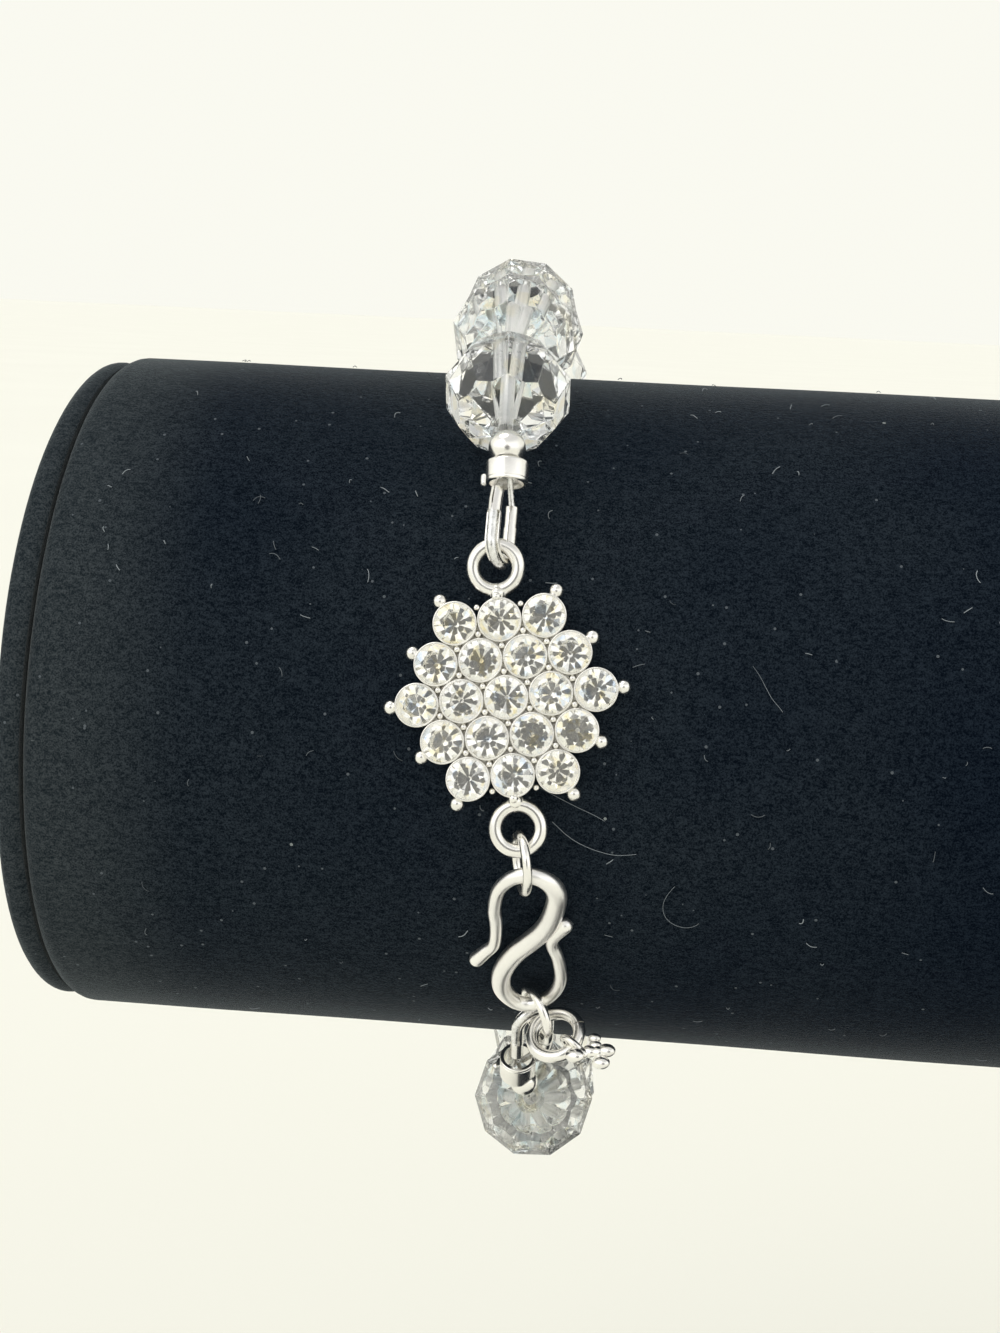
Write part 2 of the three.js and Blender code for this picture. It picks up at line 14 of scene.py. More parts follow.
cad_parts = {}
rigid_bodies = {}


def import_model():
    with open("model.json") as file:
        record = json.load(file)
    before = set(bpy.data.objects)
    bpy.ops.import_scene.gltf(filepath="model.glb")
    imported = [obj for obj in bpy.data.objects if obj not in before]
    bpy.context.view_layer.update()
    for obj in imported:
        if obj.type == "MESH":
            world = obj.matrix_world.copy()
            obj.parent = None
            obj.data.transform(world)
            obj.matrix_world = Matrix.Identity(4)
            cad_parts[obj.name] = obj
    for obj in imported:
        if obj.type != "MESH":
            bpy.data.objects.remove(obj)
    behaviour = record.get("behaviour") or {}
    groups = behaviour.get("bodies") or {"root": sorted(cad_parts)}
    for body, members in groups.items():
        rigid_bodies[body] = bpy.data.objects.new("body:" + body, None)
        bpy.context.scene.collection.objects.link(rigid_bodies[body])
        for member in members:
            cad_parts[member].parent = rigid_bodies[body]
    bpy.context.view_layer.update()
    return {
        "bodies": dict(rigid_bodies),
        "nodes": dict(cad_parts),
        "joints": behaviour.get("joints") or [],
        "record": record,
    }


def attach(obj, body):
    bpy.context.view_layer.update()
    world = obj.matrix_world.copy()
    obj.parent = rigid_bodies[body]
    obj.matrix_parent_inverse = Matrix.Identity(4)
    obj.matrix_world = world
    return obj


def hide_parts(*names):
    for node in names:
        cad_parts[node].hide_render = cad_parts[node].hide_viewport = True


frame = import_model()
scene = bpy.context.scene

TO_METRES = Matrix.Scale(0.001, 4)
CLOSE = 1e-4  # points nearer than this are one
SEEDS = {"lint": 21, "scoring": 5, "stones": 11}

# ---- Sizes, in millimetres and degrees ----

BRACELET = Matrix.Translation((-63.0, 0.0, 122.0))
AXIS_HEIGHT = 122.0
BASE = {
    "width": 110.0, "depth": 86.0, "height": 14.0, "corner": 12.0, "corner_steps": 10,
    "bevel": 2.0, "bevel_steps": 5,
}
POST = {
    "width": 28.0, "depth": 24.0, "corner": 8.0, "corner_steps": 10,
    "bottom": 14.3, "saddle": 28.65, "slices": 16,
}
ROLL = {
    "radius": 28.4, "half": 97.95, "edge": 1.6, "disc": 12.0, "rings": 90, "sides": 144,
    "padding": 0.14, "waves_per_mm": 0.045,
}
CAP = {
    "radius": 27.9, "inset": 1.6, "rim": 2.1, "rounding": 1.3, "crown": 4.25, "start": 98.15,
    "sides": 120, "padding": 0.1, "waves_per_mm": 0.06,
}
CAP_DOME = (25.0, 22.0, 18.0, 14.0, 9.0, 4.5, 0.0)
LEAN = {"slope": 0.022, "start": 80.0, "over": 18.0}

LINT_SPREAD = {"count": 480, "half": 94.0, "around": (-60.0, 240.0), "length": (0.2, 1.1)}
FIBRE = {"steps": 5, "radius": 0.032, "curl": 1.6}
HAIR = {"steps": 30, "radius": 0.02, "curl": 2.6}
# A place along the roll, an angle above its front and a length.
HAIRS = (
    (-53.5, -6.0, 9.0), (-51.0, -11.0, 7.0), (-48.0, -16.0, 6.0), (-56.5, 8.0, 4.5),
    (-41.0, 12.0, 4.0),
)
FIBRE_LIE = {"clear": 0.14, "arch": 0.12, "sway": 0.3}

# The circle of beads; its x swings to and fro as it goes round.
LOOP = {"radius": 33.55, "drop": 0.2, "mean": 1.9, "swing": 2.6, "phase": 12.0}
BEADS = {"count": 15, "first": 56.0, "last": 291.0}
BEAD = {
    "folds": 10, "half": 4.55, "girdle": 5.0, "hole": 0.56, "belt_slope": 22.0,
    "shoulder_slope": 55.0, "shoulder_reach": 4.43, "turn": 137.5, "edge": 0.045,
}
BALL = {"hole": 0.5, "top": 1.4, "bottom": 1.12}
CRIMP = {"wall": 0.3, "half": 0.7, "mouth_edge": 0.1, "far_edge": 0.22}
CRIMP_GROOVE = ((0.0, 0.24), (0.035, 0.27), (0.035, 0.3), (0.0, 0.33))
CRIMPS = {
    "top": {"radius": 1.58, "mouth": 0.32, "far": 0.0},
    "bottom": {"radius": 1.45, "mouth": 0.0, "far": 0.85},
}
GUARD = {
    "tube": 0.5, "strand": 0.36, "bulge": 0.13, "front": 0.6, "back": 0.25,
    "mouth_in": 0.25, "neck_in": 0.04, "collar_steps": 2,
}
GUTTER = {"size": 1.1, "inner": 0.8, "opening": 170.0}
COLLAR = {"size": 1.0, "inner": 0.74, "opening": 14.0}
STRING = {"radius": 0.2, "apart": 0.42, "ends": (0.24, 0.26, 0.28)}
TAIL = {"out": 0.2, "side": 0.2, "drops": (0.35, 0.6, 0.85), "radii": (0.24, 0.26, 0.24)}

FLOWER = {"angle": 11.66, "lean": 8.5, "x": 1.85, "back": 28.6, "pitch": 3.3, "rows": 2}
TIP = {"radius": 0.55, "height": 0.75, "corner": 8.6, "side": 7.65, "count": 12}
SETTING_RING = {"distance": 9.6, "mid": 1.675, "wire": 0.525}
STONE = {
    "girdle": 1.49, "low": 1.25, "high": 1.36, "table": 1.95, "table_radius": 0.82,
    "pavilion": 40.0, "culet": 0.115, "folds": 8, "turn": 17.0, "tilt": 5.0,
}
CUP = {
    "base": 1.58, "foot": (1.63, 0.1), "wall": (1.64, 1.25), "rim": (1.56, 1.36),
    "rim_radius": 0.085, "lip": (1.535, 1.24), "seat": (1.5, 0.2), "seat_gap": 0.05,
}
PLATE = {"radius": 6.6, "thickness": 0.12}
FILLING = {"radius": 0.31, "stretch": (1.0, 1.0, 1.2), "height": 1.1}
LUG = {"radius": 0.72, "stretch": (1.0, 1.0, 0.8), "reach": 7.75, "height": 0.55}
CLAW = {"radius": 0.36, "side": -0.1, "reach": 7.4, "height": 1.28}
GRAIN = {"radius": 0.24, "side": 1.62, "reach": 6.75, "height": 0.95}

HOOK = {"angle": -32.5, "distance": 29.9, "x": 4.2, "rise": 3.0}
# A place across the S, a height and the wire's radius there.
HOOK_ROWS = (
    (-3.9, -1.9, 0.6), (-3.25, -1.0, 0.54), (-2.6, -0.1, 0.48), (-2.4, 1.3, 0.48),
    (-2.4, 2.7, 0.5), (-2.5, 4.0, 0.5), (-2.2, 6.1, 0.52), (-1.4, 7.4, 0.55),
    (-0.4, 8.0, 0.58), (0.8, 7.9, 0.63), (1.8, 7.1, 0.72), (2.15, 5.8, 0.77),
    (1.8, 3.6, 0.8), (1.1, 1.9, 0.8), (0.1, 0.5, 0.8), (-0.9, -0.8, 0.8),
    (-1.7, -2.4, 0.8), (-2.05, -3.9, 0.77), (-1.9, -5.4, 0.72), (-1.0, -6.7, 0.62),
    (0.1, -7.0, 0.56), (1.2, -6.4, 0.52), (2.2, -5.0, 0.5), (2.55, -3.3, 0.5),
    (2.3, -1.1, 0.48), (1.85, 0.4, 0.48), (2.0, 1.4, 0.52), (2.8, 2.7, 0.6),
)

# Loose rings: a centre, two directions in the ring's plane, and the angle where its ends meet.
RING_GAP = 1.2
RINGS = {
    "jump_ring_top": {
        "centre": (3.7, -31.0, -5.9), "first": (0.13, -0.06, -0.99),
        "second": (0.26, -0.96, 0.09), "mid": 2.1, "wire": 0.35, "join": 200.0,
    },
    "jump_ring_bottom": {
        "centre": (5.0, -23.2, -20.2), "first": (0.35, -0.1, -0.93),
        "second": (0.35, -0.91, 0.24), "mid": 2.15, "wire": 0.37, "join": 250.0,
    },
    "charm_ring": {
        "centre": (6.6, -24.75, -21.15), "first": (0.95, -0.31, 0.11),
        "second": (0.16, 0.72, 0.67), "mid": 1.9, "wire": 0.5, "join": 30.0,
    },
}

# Ends of the string: how the guard sits on its ring, and how far the ball and the crimp
# are from the last bead.
ENDS = {
    "top": {
        "turn": 74.0, "pull": 0.15, "arc": 1.5, "leg": 3.2, "twist": -22.0, "rock": 5.0,
        "ball": 1.66, "lean": 1.5, "ball_shift": (0.2, 0.0, 0.0),
        "crimp": 3.42, "crimp_shift": (0.3, -0.4, 0.18),
    },
    "bottom": {
        "turn": -66.0, "pull": 0.0, "arc": 1.36, "leg": 3.1, "twist": 0.0, "rock": 0.0,
        "ball": 2.75, "lean": 3.0, "ball_shift": (-0.5, 0.0, 0.0),
        "crimp": 4.7, "crimp_shift": (-1.1, 0.0, 0.0),
    },
}

CHARM = {"turn": -28.0, "mid": 1.02, "wire": 0.27, "stretch": (1.3, 0.98, 0.8)}
# A place and a radius.
PETALS = (
    (0.65, -1.15, 0.8, 0.6), (1.1, -0.85, 0.65, 0.42), (1.6, -0.55, 0.5, 0.5),
    (1.9, 0.05, 0.4, 0.4), (1.7, 0.65, 0.4, 0.4), (2.25, -0.5, 0.45, 0.48),
    (2.9, -0.3, 0.4, 0.55), (2.65, -1.3, 0.3, 0.55),
)


# ---- Finishes ----


class Field:
    """A value that varies over a surface. Arithmetic on it adds Math nodes."""

    def __init__(self, finish, socket):
        self.finish = finish
        self.socket = socket

    def math(self, operation, first, second=0.0):
        return self.finish.node("ShaderNodeMath", {"operation": operation}, {0: first, 1: second})

    def __add__(self, other):
        return self.math("ADD", self, other)

    def __radd__(self, other):
        return self.math("ADD", other, self)

    def __mul__(self, other):
        return self.math("MULTIPLY", self, other)

    def __rmul__(self, other):
        return self.math("MULTIPLY", other, self)

    def __gt__(self, other):
        return self.math("GREATER_THAN", self, other)

    def __lt__(self, other):
        return self.math("LESS_THAN", self, other)

    def size(self):
        return self.math("ABSOLUTE", self)

    def ramp(self, low, high):
        """0 at low, 1 at high and smooth between them."""
        settings = {"interpolation_type": "SMOOTHSTEP"}
        return self.finish.node("ShaderNodeMapRange", settings, {0: self, 1: low, 2: high})


class Finish:
    """A material made of nodes round one Principled shader."""

    def __init__(self, name, **constants):
        self.material = bpy.data.materials.new(name)
        self.material.use_nodes = True
        self.tree = self.material.node_tree
        self.shader = self.tree.nodes["Principled BSDF"]
        for socket, value in constants.items():
            self.shader.inputs[socket.replace("_", " ")].default_value = value
        self.place = self.node("ShaderNodeTexCoord", out="Object")

    def node(self, kind, settings=None, inputs=None, out=0):
        """Adds a node: its settings first, then the values or links of its sockets."""
        made = self.tree.nodes.new(kind)
        for name, value in (settings or {}).items():
            setattr(made, name, value)
        for key, value in (inputs or {}).items():
            self.feed(made.inputs[key], value)
        return Field(self, made.outputs[out])

    def feed(self, socket, value):
        if isinstance(value, Field):
            self.tree.links.new(value.socket, socket)
        else:
            socket.default_value = value

    def noise(self, per_metre, detail=2.0, roughness=0.5, at=None):
        inputs = {"Vector": at or self.place, "Scale": per_metre, "Detail": detail}
        return self.node("ShaderNodeTexNoise", None, {**inputs, "Roughness": roughness})

    def cells(self, per_metre, out="Distance", at=None):
        inputs = {"Vector": at or self.place, "Scale": per_metre}
        return self.node("ShaderNodeTexVoronoi", None, inputs, out)

    def scattered(self, per_metre, reach, share, at=None):
        """1 in small spots round a share of the points scattered through space."""
        colour = self.cells(per_metre, out="Color", at=at)
        pick = self.node("ShaderNodeSeparateColor", None, {0: colour}, "Red")
        return (self.cells(per_metre, at=at) < reach) * (pick > 1.0 - share)

    def mapped(self, scale=(1.0, 1.0, 1.0), turn=(0.0, 0.0, 0.0), shift=(0.0, 0.0, 0.0)):
        inputs = {"Vector": self.place, "Location": shift, "Rotation": turn, "Scale": scale}
        return self.node("ShaderNodeMapping", None, inputs)

    def blend(self, factor, first, second):
        """A mix of two colours."""
        inputs = {0: factor, 6: self.colour(first), 7: self.colour(second)}
        return self.node("ShaderNodeMix", {"data_type": "RGBA"}, inputs, 2)

    def colour(self, value):
        return value if isinstance(value, Field) else (*value, 1.0)

    def bump(self, height, strength, depth):
        """A Bump node's normal, for a height of 0 to 1 and a depth in metres."""
        inputs = {"Height": height, "Strength": strength, "Distance": depth}
        return self.node("ShaderNodeBump", None, inputs)

    def shade(self, **inputs):
        """Feeds what varies to the shader and returns the material."""
        for name, value in inputs.items():
            self.feed(self.shader.inputs[name.replace("_", " ")], value)
        return self.material


SCORING = "scoring"


def velvet_finish():
    velvet = Finish(
        "black_velvet",
        Sheen_Weight=0.27,
        Sheen_Roughness=0.27,
        Sheen_Tint=(0.82, 0.88, 0.9, 1.0),
        Specular_IOR_Level=0.0,
    )
    pile = velvet.noise(7600.0, 2.0, 0.7)
    hairs = velvet.noise(3400.0, 2.0, 0.6, velvet.mapped((0.55, 1.0, 1.0), (0.3, 0.2, 0.0)))
    clumps = velvet.noise(700.0, 2.0, 0.5)
    patches = velvet.noise(24.0, 2.0, 0.5)
    along = velvet.node("ShaderNodeSeparateXYZ", None, {0: velvet.place}, "X")
    # Painted sheen: the velvet is lighter towards both ends of the roll, standing in for the pile
    # catching light there.
    end_sheen_mask = along.size().ramp(0.084, 0.0962)
    nap = (pile * 0.62 + hairs * 0.3 + clumps * 0.08).ramp(0.38, 0.64)
    ground = velvet.blend(nap, (0.0012, 0.0028, 0.0070), (0.0090, 0.0150, 0.0250))
    worn = velvet.blend(nap, (0.0040, 0.0070, 0.0100), (0.0330, 0.0420, 0.0500))
    shaded = velvet.blend(patches.ramp(0.4, 0.72) * 0.5 + 0.05, ground, worn)
    end_sheen_tone = velvet.blend(nap, (0.0110, 0.0160, 0.0200), (0.0480, 0.0570, 0.0630))
    with_end_sheen = velvet.blend(end_sheen_mask, shaded, end_sheen_tone)
    dots = velvet.scattered(1100.0, 0.13, 0.14)
    dotted = velvet.blend(dots * 0.85, with_end_sheen, (0.10, 0.115, 0.13))
    fluff = velvet.scattered(300.0, 0.045, 0.1)
    linted = velvet.blend(fluff * 0.7, dotted, (0.30, 0.33, 0.33))
    threads_at = velvet.mapped((0.16, 1.0, 1.0), (0.7, 0.4, 0.9))
    threads = velvet.scattered(420.0, 0.035, 0.07, threads_at)
    base = velvet.blend(threads * 0.35, linted, (0.20, 0.23, 0.24))
    return velvet.shade(
        Base_Color=base,
        Roughness=0.85 + nap * 0.13,
        Normal=velvet.bump(pile * 0.6 + hairs * 0.4, 0.5, 0.00018),
    )


def crystal_finish():
    crystal = Finish("cut_crystal", Transmission_Weight=0.985, IOR=1.56)
    body = crystal.noise(160.0, 1.0)
    clear = crystal.blend(body.ramp(0.35, 0.65), (1.0, 1.0, 0.99), (0.99, 0.998, 1.0))
    # Painted fire: small yellow and blue patches in the glass's colour stand in for the coloured
    # glints that the cut crystal throws.
    warm = crystal.noise(420.0, 1.0).ramp(0.58, 0.66)
    blue_glint_mask = crystal.noise(470.0, 1.0, at=crystal.mapped(shift=(0.3, 0.1, 0.7))).ramp(0.6, 0.68)
    clear_with_yellow_glints = crystal.blend(warm, clear, (1.0, 0.94, 0.76))
    painted_fire_colour = crystal.blend(blue_glint_mask, clear_with_yellow_glints, (0.8, 0.92, 1.0))
    polish = crystal.noise(900.0, 2.0)
    return crystal.shade(
        Base_Color=painted_fire_colour,
        Roughness=polish.ramp(0.55, 0.8) * 0.012,
        Normal=crystal.bump(crystal.noise(220.0, 1.0), 0.02, 0.0002),
    )


def drilled_finish():
    drilled = Finish("drilled_hole", Transmission_Weight=0.45, IOR=1.3)
    scoring = drilled.node("ShaderNodeAttribute", {"attribute_name": SCORING}, None, "Fac")
    grit = drilled.noise(2600.0, 2.0, 0.6)
    ground = (scoring * 0.8 + grit * 0.2).ramp(0.3, 0.6)
    tone = drilled.blend(ground, (0.66, 0.67, 0.68), (1.0, 1.0, 0.995))
    return drilled.shade(Base_Color=tone, Roughness=0.2 + grit * 0.2)


def stone_finish():
    stone = Finish("rhinestone_glass", Transmission_Weight=1.0, IOR=1.58)
    drift = stone.noise(240.0, 1.0)
    warm = stone.blend(drift.ramp(0.48, 0.64), (1.0, 1.0, 1.0), (1.0, 0.985, 0.92))
    # Painted fire: small gold and blue patches in the glass's colour stand in for coloured glints in
    # the stones.
    with_gold_glints = stone.blend(stone.noise(800.0, 1.0).ramp(0.6, 0.68), warm, (1.0, 0.88, 0.55))
    blue_glint_mask = stone.noise(850.0, 1.0, at=stone.mapped(shift=(0.2, 0.5, 0.1))).ramp(0.62, 0.7)
    tint_and_painted_glints = stone.blend(blue_glint_mask, with_gold_glints, (0.68, 0.8, 1.0))
    return stone.shade(Base_Color=tint_and_painted_glints, Roughness=stone.noise(1500.0).ramp(0.5, 0.9) * 0.02)


def foil_finish():
    foil = Finish("stone_foil", Metallic=1.0)
    drift = foil.noise(900.0, 1.0)
    tone = foil.blend(drift.ramp(0.35, 0.68), (0.99, 0.985, 0.965), (0.95, 0.955, 0.955))
    return foil.shade(Base_Color=tone, Roughness=0.03 + foil.noise(3000.0) * 0.06)


def silver_finish():
    silver = Finish("bright_silver", Metallic=1.0)
    wear = silver.noise(520.0, 4.0, 0.6)
    tone = silver.blend(wear.ramp(0.35, 0.7), (0.95, 0.935, 0.895), (0.85, 0.835, 0.8))
    specks = silver.cells(900.0).ramp(0.16, 0.05) * silver.noise(300.0).ramp(0.56, 0.62)
    tone = silver.blend(specks * 0.55, tone, (0.25, 0.24, 0.23))
    scratches = silver.noise(2400.0, 2.0, 0.7, silver.mapped((1.0, 0.25, 1.0), (0.5, 0.3, 0.8)))
    return silver.shade(
        Base_Color=tone,
        Roughness=0.17 + wear * 0.12,
        Normal=silver.bump(scratches * 0.6 + wear * 0.4, 0.12, 0.00004),
    )


def satin_finish():
    satin = Finish("satin_silver", Metallic=1.0)
    cloud = satin.noise(420.0, 3.0, 0.6)
    tone = satin.blend(cloud.ramp(0.3, 0.72), (0.99, 0.975, 0.945), (0.93, 0.92, 0.9))
    grain = satin.noise(3200.0, 2.0, 0.6, satin.mapped((1.0, 1.0, 0.2), (0.0, 0.45, 0.0)))
    return satin.shade(
        Base_Color=tone,
        Roughness=0.24 + cloud * 0.16,
        Normal=satin.bump(grain * 0.7 + cloud * 0.3, 0.25, 0.00006),
    )


def wire_finish():
    wire = Finish("beading_wire", Metallic=1.0)
    strands = wire.noise(3600.0, 1.0, 0.5, wire.mapped((1.0, 0.35, 1.0), (0.6, 0.0, 0.5)))
    tone = wire.blend(strands.ramp(0.35, 0.65), (0.74, 0.74, 0.73), (0.94, 0.94, 0.93))
    return wire.shade(
        Base_Color=tone,
        Roughness=0.2 + strands * 0.15,
        Normal=wire.bump(strands, 0.3, 0.00005),
    )


def lint_finish():
    fibre = Finish("lint", Specular_IOR_Level=0.2)
    drift = fibre.noise(90.0, 1.0)
    tone = fibre.blend(drift.ramp(0.3, 0.7), (0.05, 0.06, 0.07), (0.31, 0.345, 0.37))
    return fibre.shade(Base_Color=tone, Roughness=0.7 + fibre.noise(900.0) * 0.2)


VELVET = velvet_finish()
LINT = lint_finish()
CRYSTAL = crystal_finish()
DRILLED = drilled_finish()
STONE_GLASS = stone_finish()
FOIL = foil_finish()
SILVER = silver_finish()
SATIN = satin_finish()
WIRE = wire_finish()


# ---- Shapes, in millimetres ----


def axes(x, y, z, origin=(0.0, 0.0, 0.0)):
    """A matrix whose columns are three directions and a place."""
    made = Matrix((x, y, z)).transposed().to_4x4()
    made.translation = origin
    return made


def cos_sin(degrees):
    a = math.radians(degrees)
    return math.cos(a), math.sin(a)


def only(kind, geometry):
    return [item for item in geometry if isinstance(item, kind)]


def outline(points, closed=False):
    """A row of joined vertices to spin or sweep."""
    bm = bmesh.new()
    row = [bm.verts.new(point) for point in points]
    pairs = zip(row, row[1:] + row[:1]) if closed else zip(row, row[1:])
    for pair in pairs:
        bm.edges.new(pair)
    return bm


def closed_up(bm):
    """Merges doubles and turns the faces outward."""
    bmesh.ops.remove_doubles(bm, verts=bm.verts, dist=CLOSE)
    bmesh.ops.recalc_face_normals(bm, faces=bm.faces)
    return bm


def spun(bm, steps):
    """Turns a profile once round Z and closes it."""
    bmesh.ops.spin(
        bm, geom=bm.verts[:] + bm.edges[:], axis=(0.0, 0.0, 1.0), cent=(0.0, 0.0, 0.0),
        angle=math.tau, steps=steps, use_merge=True,
    )
    return closed_up(bm)


def lathe(profile, sides, closed=False):
    """A profile of (radius, height) rows turned about Z."""
    return spun(outline([(r, 0.0, h) for r, h in profile], closed), sides)


def torus(mid, wire, sides, rounds):
    """A closed ring round Z."""
    bm = bmesh.new()
    bmesh.ops.create_circle(bm, segments=sides, radius=wire)
    place = Matrix.Translation((mid, 0.0, 0.0)) @ Matrix.Rotation(math.pi / 2, 4, "X")
    bmesh.ops.transform(bm, matrix=place, verts=bm.verts)
    return spun(bm, rounds)


def ball(radius, sides, stretch=(1.0, 1.0, 1.0)):
    bm = bmesh.new()
    shape = Matrix.Diagonal((*(radius * s for s in stretch), 1.0))
    bmesh.ops.create_uvsphere(
        bm, u_segments=sides, v_segments=sides // 2 + 2, radius=1.0, matrix=shape
    )
    return bm


def round_edges(bm, edges, offset, segments):
    bmesh.ops.bevel(
        bm, geom=edges, offset=offset, offset_type="OFFSET", segments=segments,
        profile=0.5, affect="EDGES", material=-1,
    )


def add(whole, part, place=None):
    """Adds a copy of one mesh to another, at a place."""
    moved = part.copy()
    moved.transform(place or Matrix.Identity(4))
    mesh = bpy.data.meshes.new("part")
    moved.to_mesh(mesh)
    moved.free()
    whole.from_mesh(mesh)
    bpy.data.meshes.remove(mesh)


def smooth_path(points, steps):
    """Points along a smooth curve through a row of points, with steps between neighbours."""
    rows = [points[0] * 2 - points[1], *points, points[-1] * 2 - points[-2]]
    made = []
    for before, here, there, after in zip(rows, rows[1:], rows[2:], rows[3:]):
        for k in range(steps):
            t = k / steps
            made.append(0.5 * (
                2 * here + (there - before) * t
                + (2 * before - 5 * here + 4 * there - after) * t * t
                + (3 * here - before - 3 * there + after) * t ** 3
            ))
    return [*made, points[-1]]


def path_frames(points, across=None):
    """Frames square across a path, one to a point, carried along without twist."""
    last = len(points) - 1
    frames = []
    for i, place in enumerate(points):
        along = (points[min(i + 1, last)] - points[max(i - 1, 0)]).normalized()
        across = along.orthogonal() if across is None else across
        across = (across - along * across.dot(along)).normalized()
        frames.append(axes(across, along.cross(across), along, place))
    return frames


DOME = (0.97, 0.86, 0.62, 0.3)


def beyond(frame, size, reach):
    """A shrunken station past the end of a rod; reach is a share of its radius."""
    place = frame @ Matrix.Translation((0.0, 0.0, size * reach))
    return place, size * math.sqrt(1 - reach ** 2)


def domed(frames, sizes):
    """Adds shrinking stations at both ends, so that a swept rod ends in domes."""
    head = [beyond(frames[0], sizes[0], -reach) for reach in DOME]
    tail = [beyond(frames[-1], sizes[-1], reach) for reach in reversed(DOME)]
    stations = [*head, *zip(frames, sizes), *tail]
    return [f for f, _ in stations], [s for _, s in stations]


def sweep(section, frames, sizes):
    """Carries a closed section along frames, at a size to each, and closes both ends."""
    bm = outline([(x, y, 0.0) for x, y in section], closed=True)
    stations = [f @ Matrix.Scale(s, 4) for f, s in zip(frames, sizes)]
    bmesh.ops.transform(bm, matrix=stations[0], verts=bm.verts)
    first = ring = bm.edges[:]
    for before, after in zip(stations, stations[1:]):
        made = bmesh.ops.extrude_edge_only(bm, edges=ring)["geom"]
        fresh = set(only(bmesh.types.BMVert, made))
        ring = [e for e in only(bmesh.types.BMEdge, made) if set(e.verts) <= fresh]
        bmesh.ops.transform(bm, matrix=after @ before.inverted(), verts=list(fresh))
    bmesh.ops.contextual_create(bm, geom=first)
    bmesh.ops.contextual_create(bm, geom=ring)
    bmesh.ops.recalc_face_normals(bm, faces=bm.faces)
    return bm


def round_section(sides):
    return [(math.cos(math.tau * k / sides), math.sin(math.tau * k / sides)) for k in range(sides)]


def rod(points, radii, sides, across=None):
    """A round rod with domed ends."""
    frames, sizes = domed(path_frames(points, across), radii)
    return sweep(round_section(sides), frames, sizes)


def object_of(name, bm, finishes):
    mesh = bpy.data.meshes.new(name)
    bm.to_mesh(mesh)
    bm.free()
    for finish in finishes:
        mesh.materials.append(finish)
    made = bpy.data.objects.new(name, mesh)
    scene.collection.objects.link(made)
    return made


def piece(name, bm, finishes, nodes, sharp=None):
    """Makes a piece of a mesh and hides the CAD nodes it stands for."""
    bm.transform(TO_METRES)
    made = object_of(name, bm, finishes)
    if sharp is not None:
        made.data.shade_smooth()
        made.data.set_sharp_from_angle(angle=math.radians(sharp))
    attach(made, "root")
    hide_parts(*nodes)
    return made


# ---- Velvet stand ----


def arc(centre, radius, start, end, steps):
    """Rows of (radius, height) round a corner, from one angle to another in degrees."""
    turns = [math.radians(start + (end - start) * k / steps) for k in range(steps + 1)]
    return [(centre[0] + radius * math.cos(a), centre[1] + radius * math.sin(a)) for a in turns]


def soften(bm, sizes):
    """Pushes a padded surface in and out a little, as cloth over foam does."""
    bm.normal_update()
    for vert in bm.verts:
        wave = noise.noise(vert.co * sizes["waves_per_mm"])
        vert.co += vert.normal * sizes["padding"] * wave


def lean_end(bm):
    """Leans the left end a little, as its card disc sits in the sleeve."""
    for vert in bm.verts:
        share = min(1.0, max(0.0, (-vert.co.x - LEAN["start"]) / LEAN["over"]))
        vert.co.x += share * LEAN["slope"] * (vert.co.z - AXIS_HEIGHT)


def roll_cover():
    radius, half, edge = ROLL["radius"], ROLL["half"], ROLL["edge"]
    disc, rings = ROLL["disc"], ROLL["rings"]
    low = arc((radius - edge, edge - half), edge, -90, 0, 6)
    high = arc((radius - edge, half - edge), edge, 0, 90, 6)
    middle = [(radius, (2 * k / rings - 1) * (half - edge)) for k in range(1, rings)]
    profile = [(0.0, -half), (disc, -half), *low, *middle, *high, (disc, half), (0.0, half)]
    bm = lathe(profile, ROLL["sides"])
    bmesh.ops.transform(bm, matrix=Matrix.Rotation(math.pi / 2, 4, "Y"), verts=bm.verts)
    soften(bm, ROLL)
    bmesh.ops.translate(bm, vec=(0.0, 0.0, AXIS_HEIGHT), verts=bm.verts)
    lean_end(bm)
    cover = piece("roll_cover", bm, [VELVET], ["display_roll"], 50)


def roll_end(side, sign):
    """A domed disc in one end of the sleeve."""
    radius, rounding, rim, crown = CAP["radius"], CAP["rounding"], CAP["rim"], CAP["crown"]
    corner = arc((radius - rounding, rim - rounding), rounding, -40, 80, 10)
    dome = [(r, rim + (crown - rim) * (1 - (r / (radius - rounding)) ** 2)) for r in CAP_DOME]
    bm = lathe([(0.0, 0.0), (radius - CAP["inset"], 0.0), *corner, *dome], CAP["sides"])
    turn = Matrix.Rotation(sign * math.pi / 2, 4, "Y")
    place = Matrix.Translation((sign * CAP["start"], 0.0, AXIS_HEIGHT)) @ turn
    bmesh.ops.transform(bm, matrix=place, verts=bm.verts)
    soften(bm, CAP)
    lean_end(bm)
    cap = piece(f"roll_end_{side}", bm, [VELVET], [f"roll_cap_{side}"], 50)


def climb(edge):
    """How far an edge rises from one end to the other."""
    return abs(edge.verts[0].co.z - edge.verts[1].co.z)


def rounded_block(sizes, height):
    """A block on the floor with round upright corners."""
    bm = bmesh.new()
    shape = Matrix.Diagonal((sizes["width"], sizes["depth"], height, 1.0))
    bmesh.ops.create_cube(bm, size=1.0, matrix=shape)
    bmesh.ops.translate(bm, vec=(0.0, 0.0, height / 2), verts=bm.verts)
    upright = [e for e in bm.edges if climb(e) > height / 2]
    round_edges(bm, upright, sizes["corner"], sizes["corner_steps"])
    return bm


def base_cover():
    level, square = 0.01, 1.0
    bm = rounded_block(BASE, BASE["height"])
    flat = [e for e in bm.edges if climb(e) < level and len(e.link_faces) == 2]
    rims = [e for e in flat if e.calc_face_angle() > square]
    round_edges(bm, rims, BASE["bevel"], BASE["bevel_steps"])
    closed_up(bm)
    piece("base_cover", bm, [VELVET], ["stand_base"], 40)


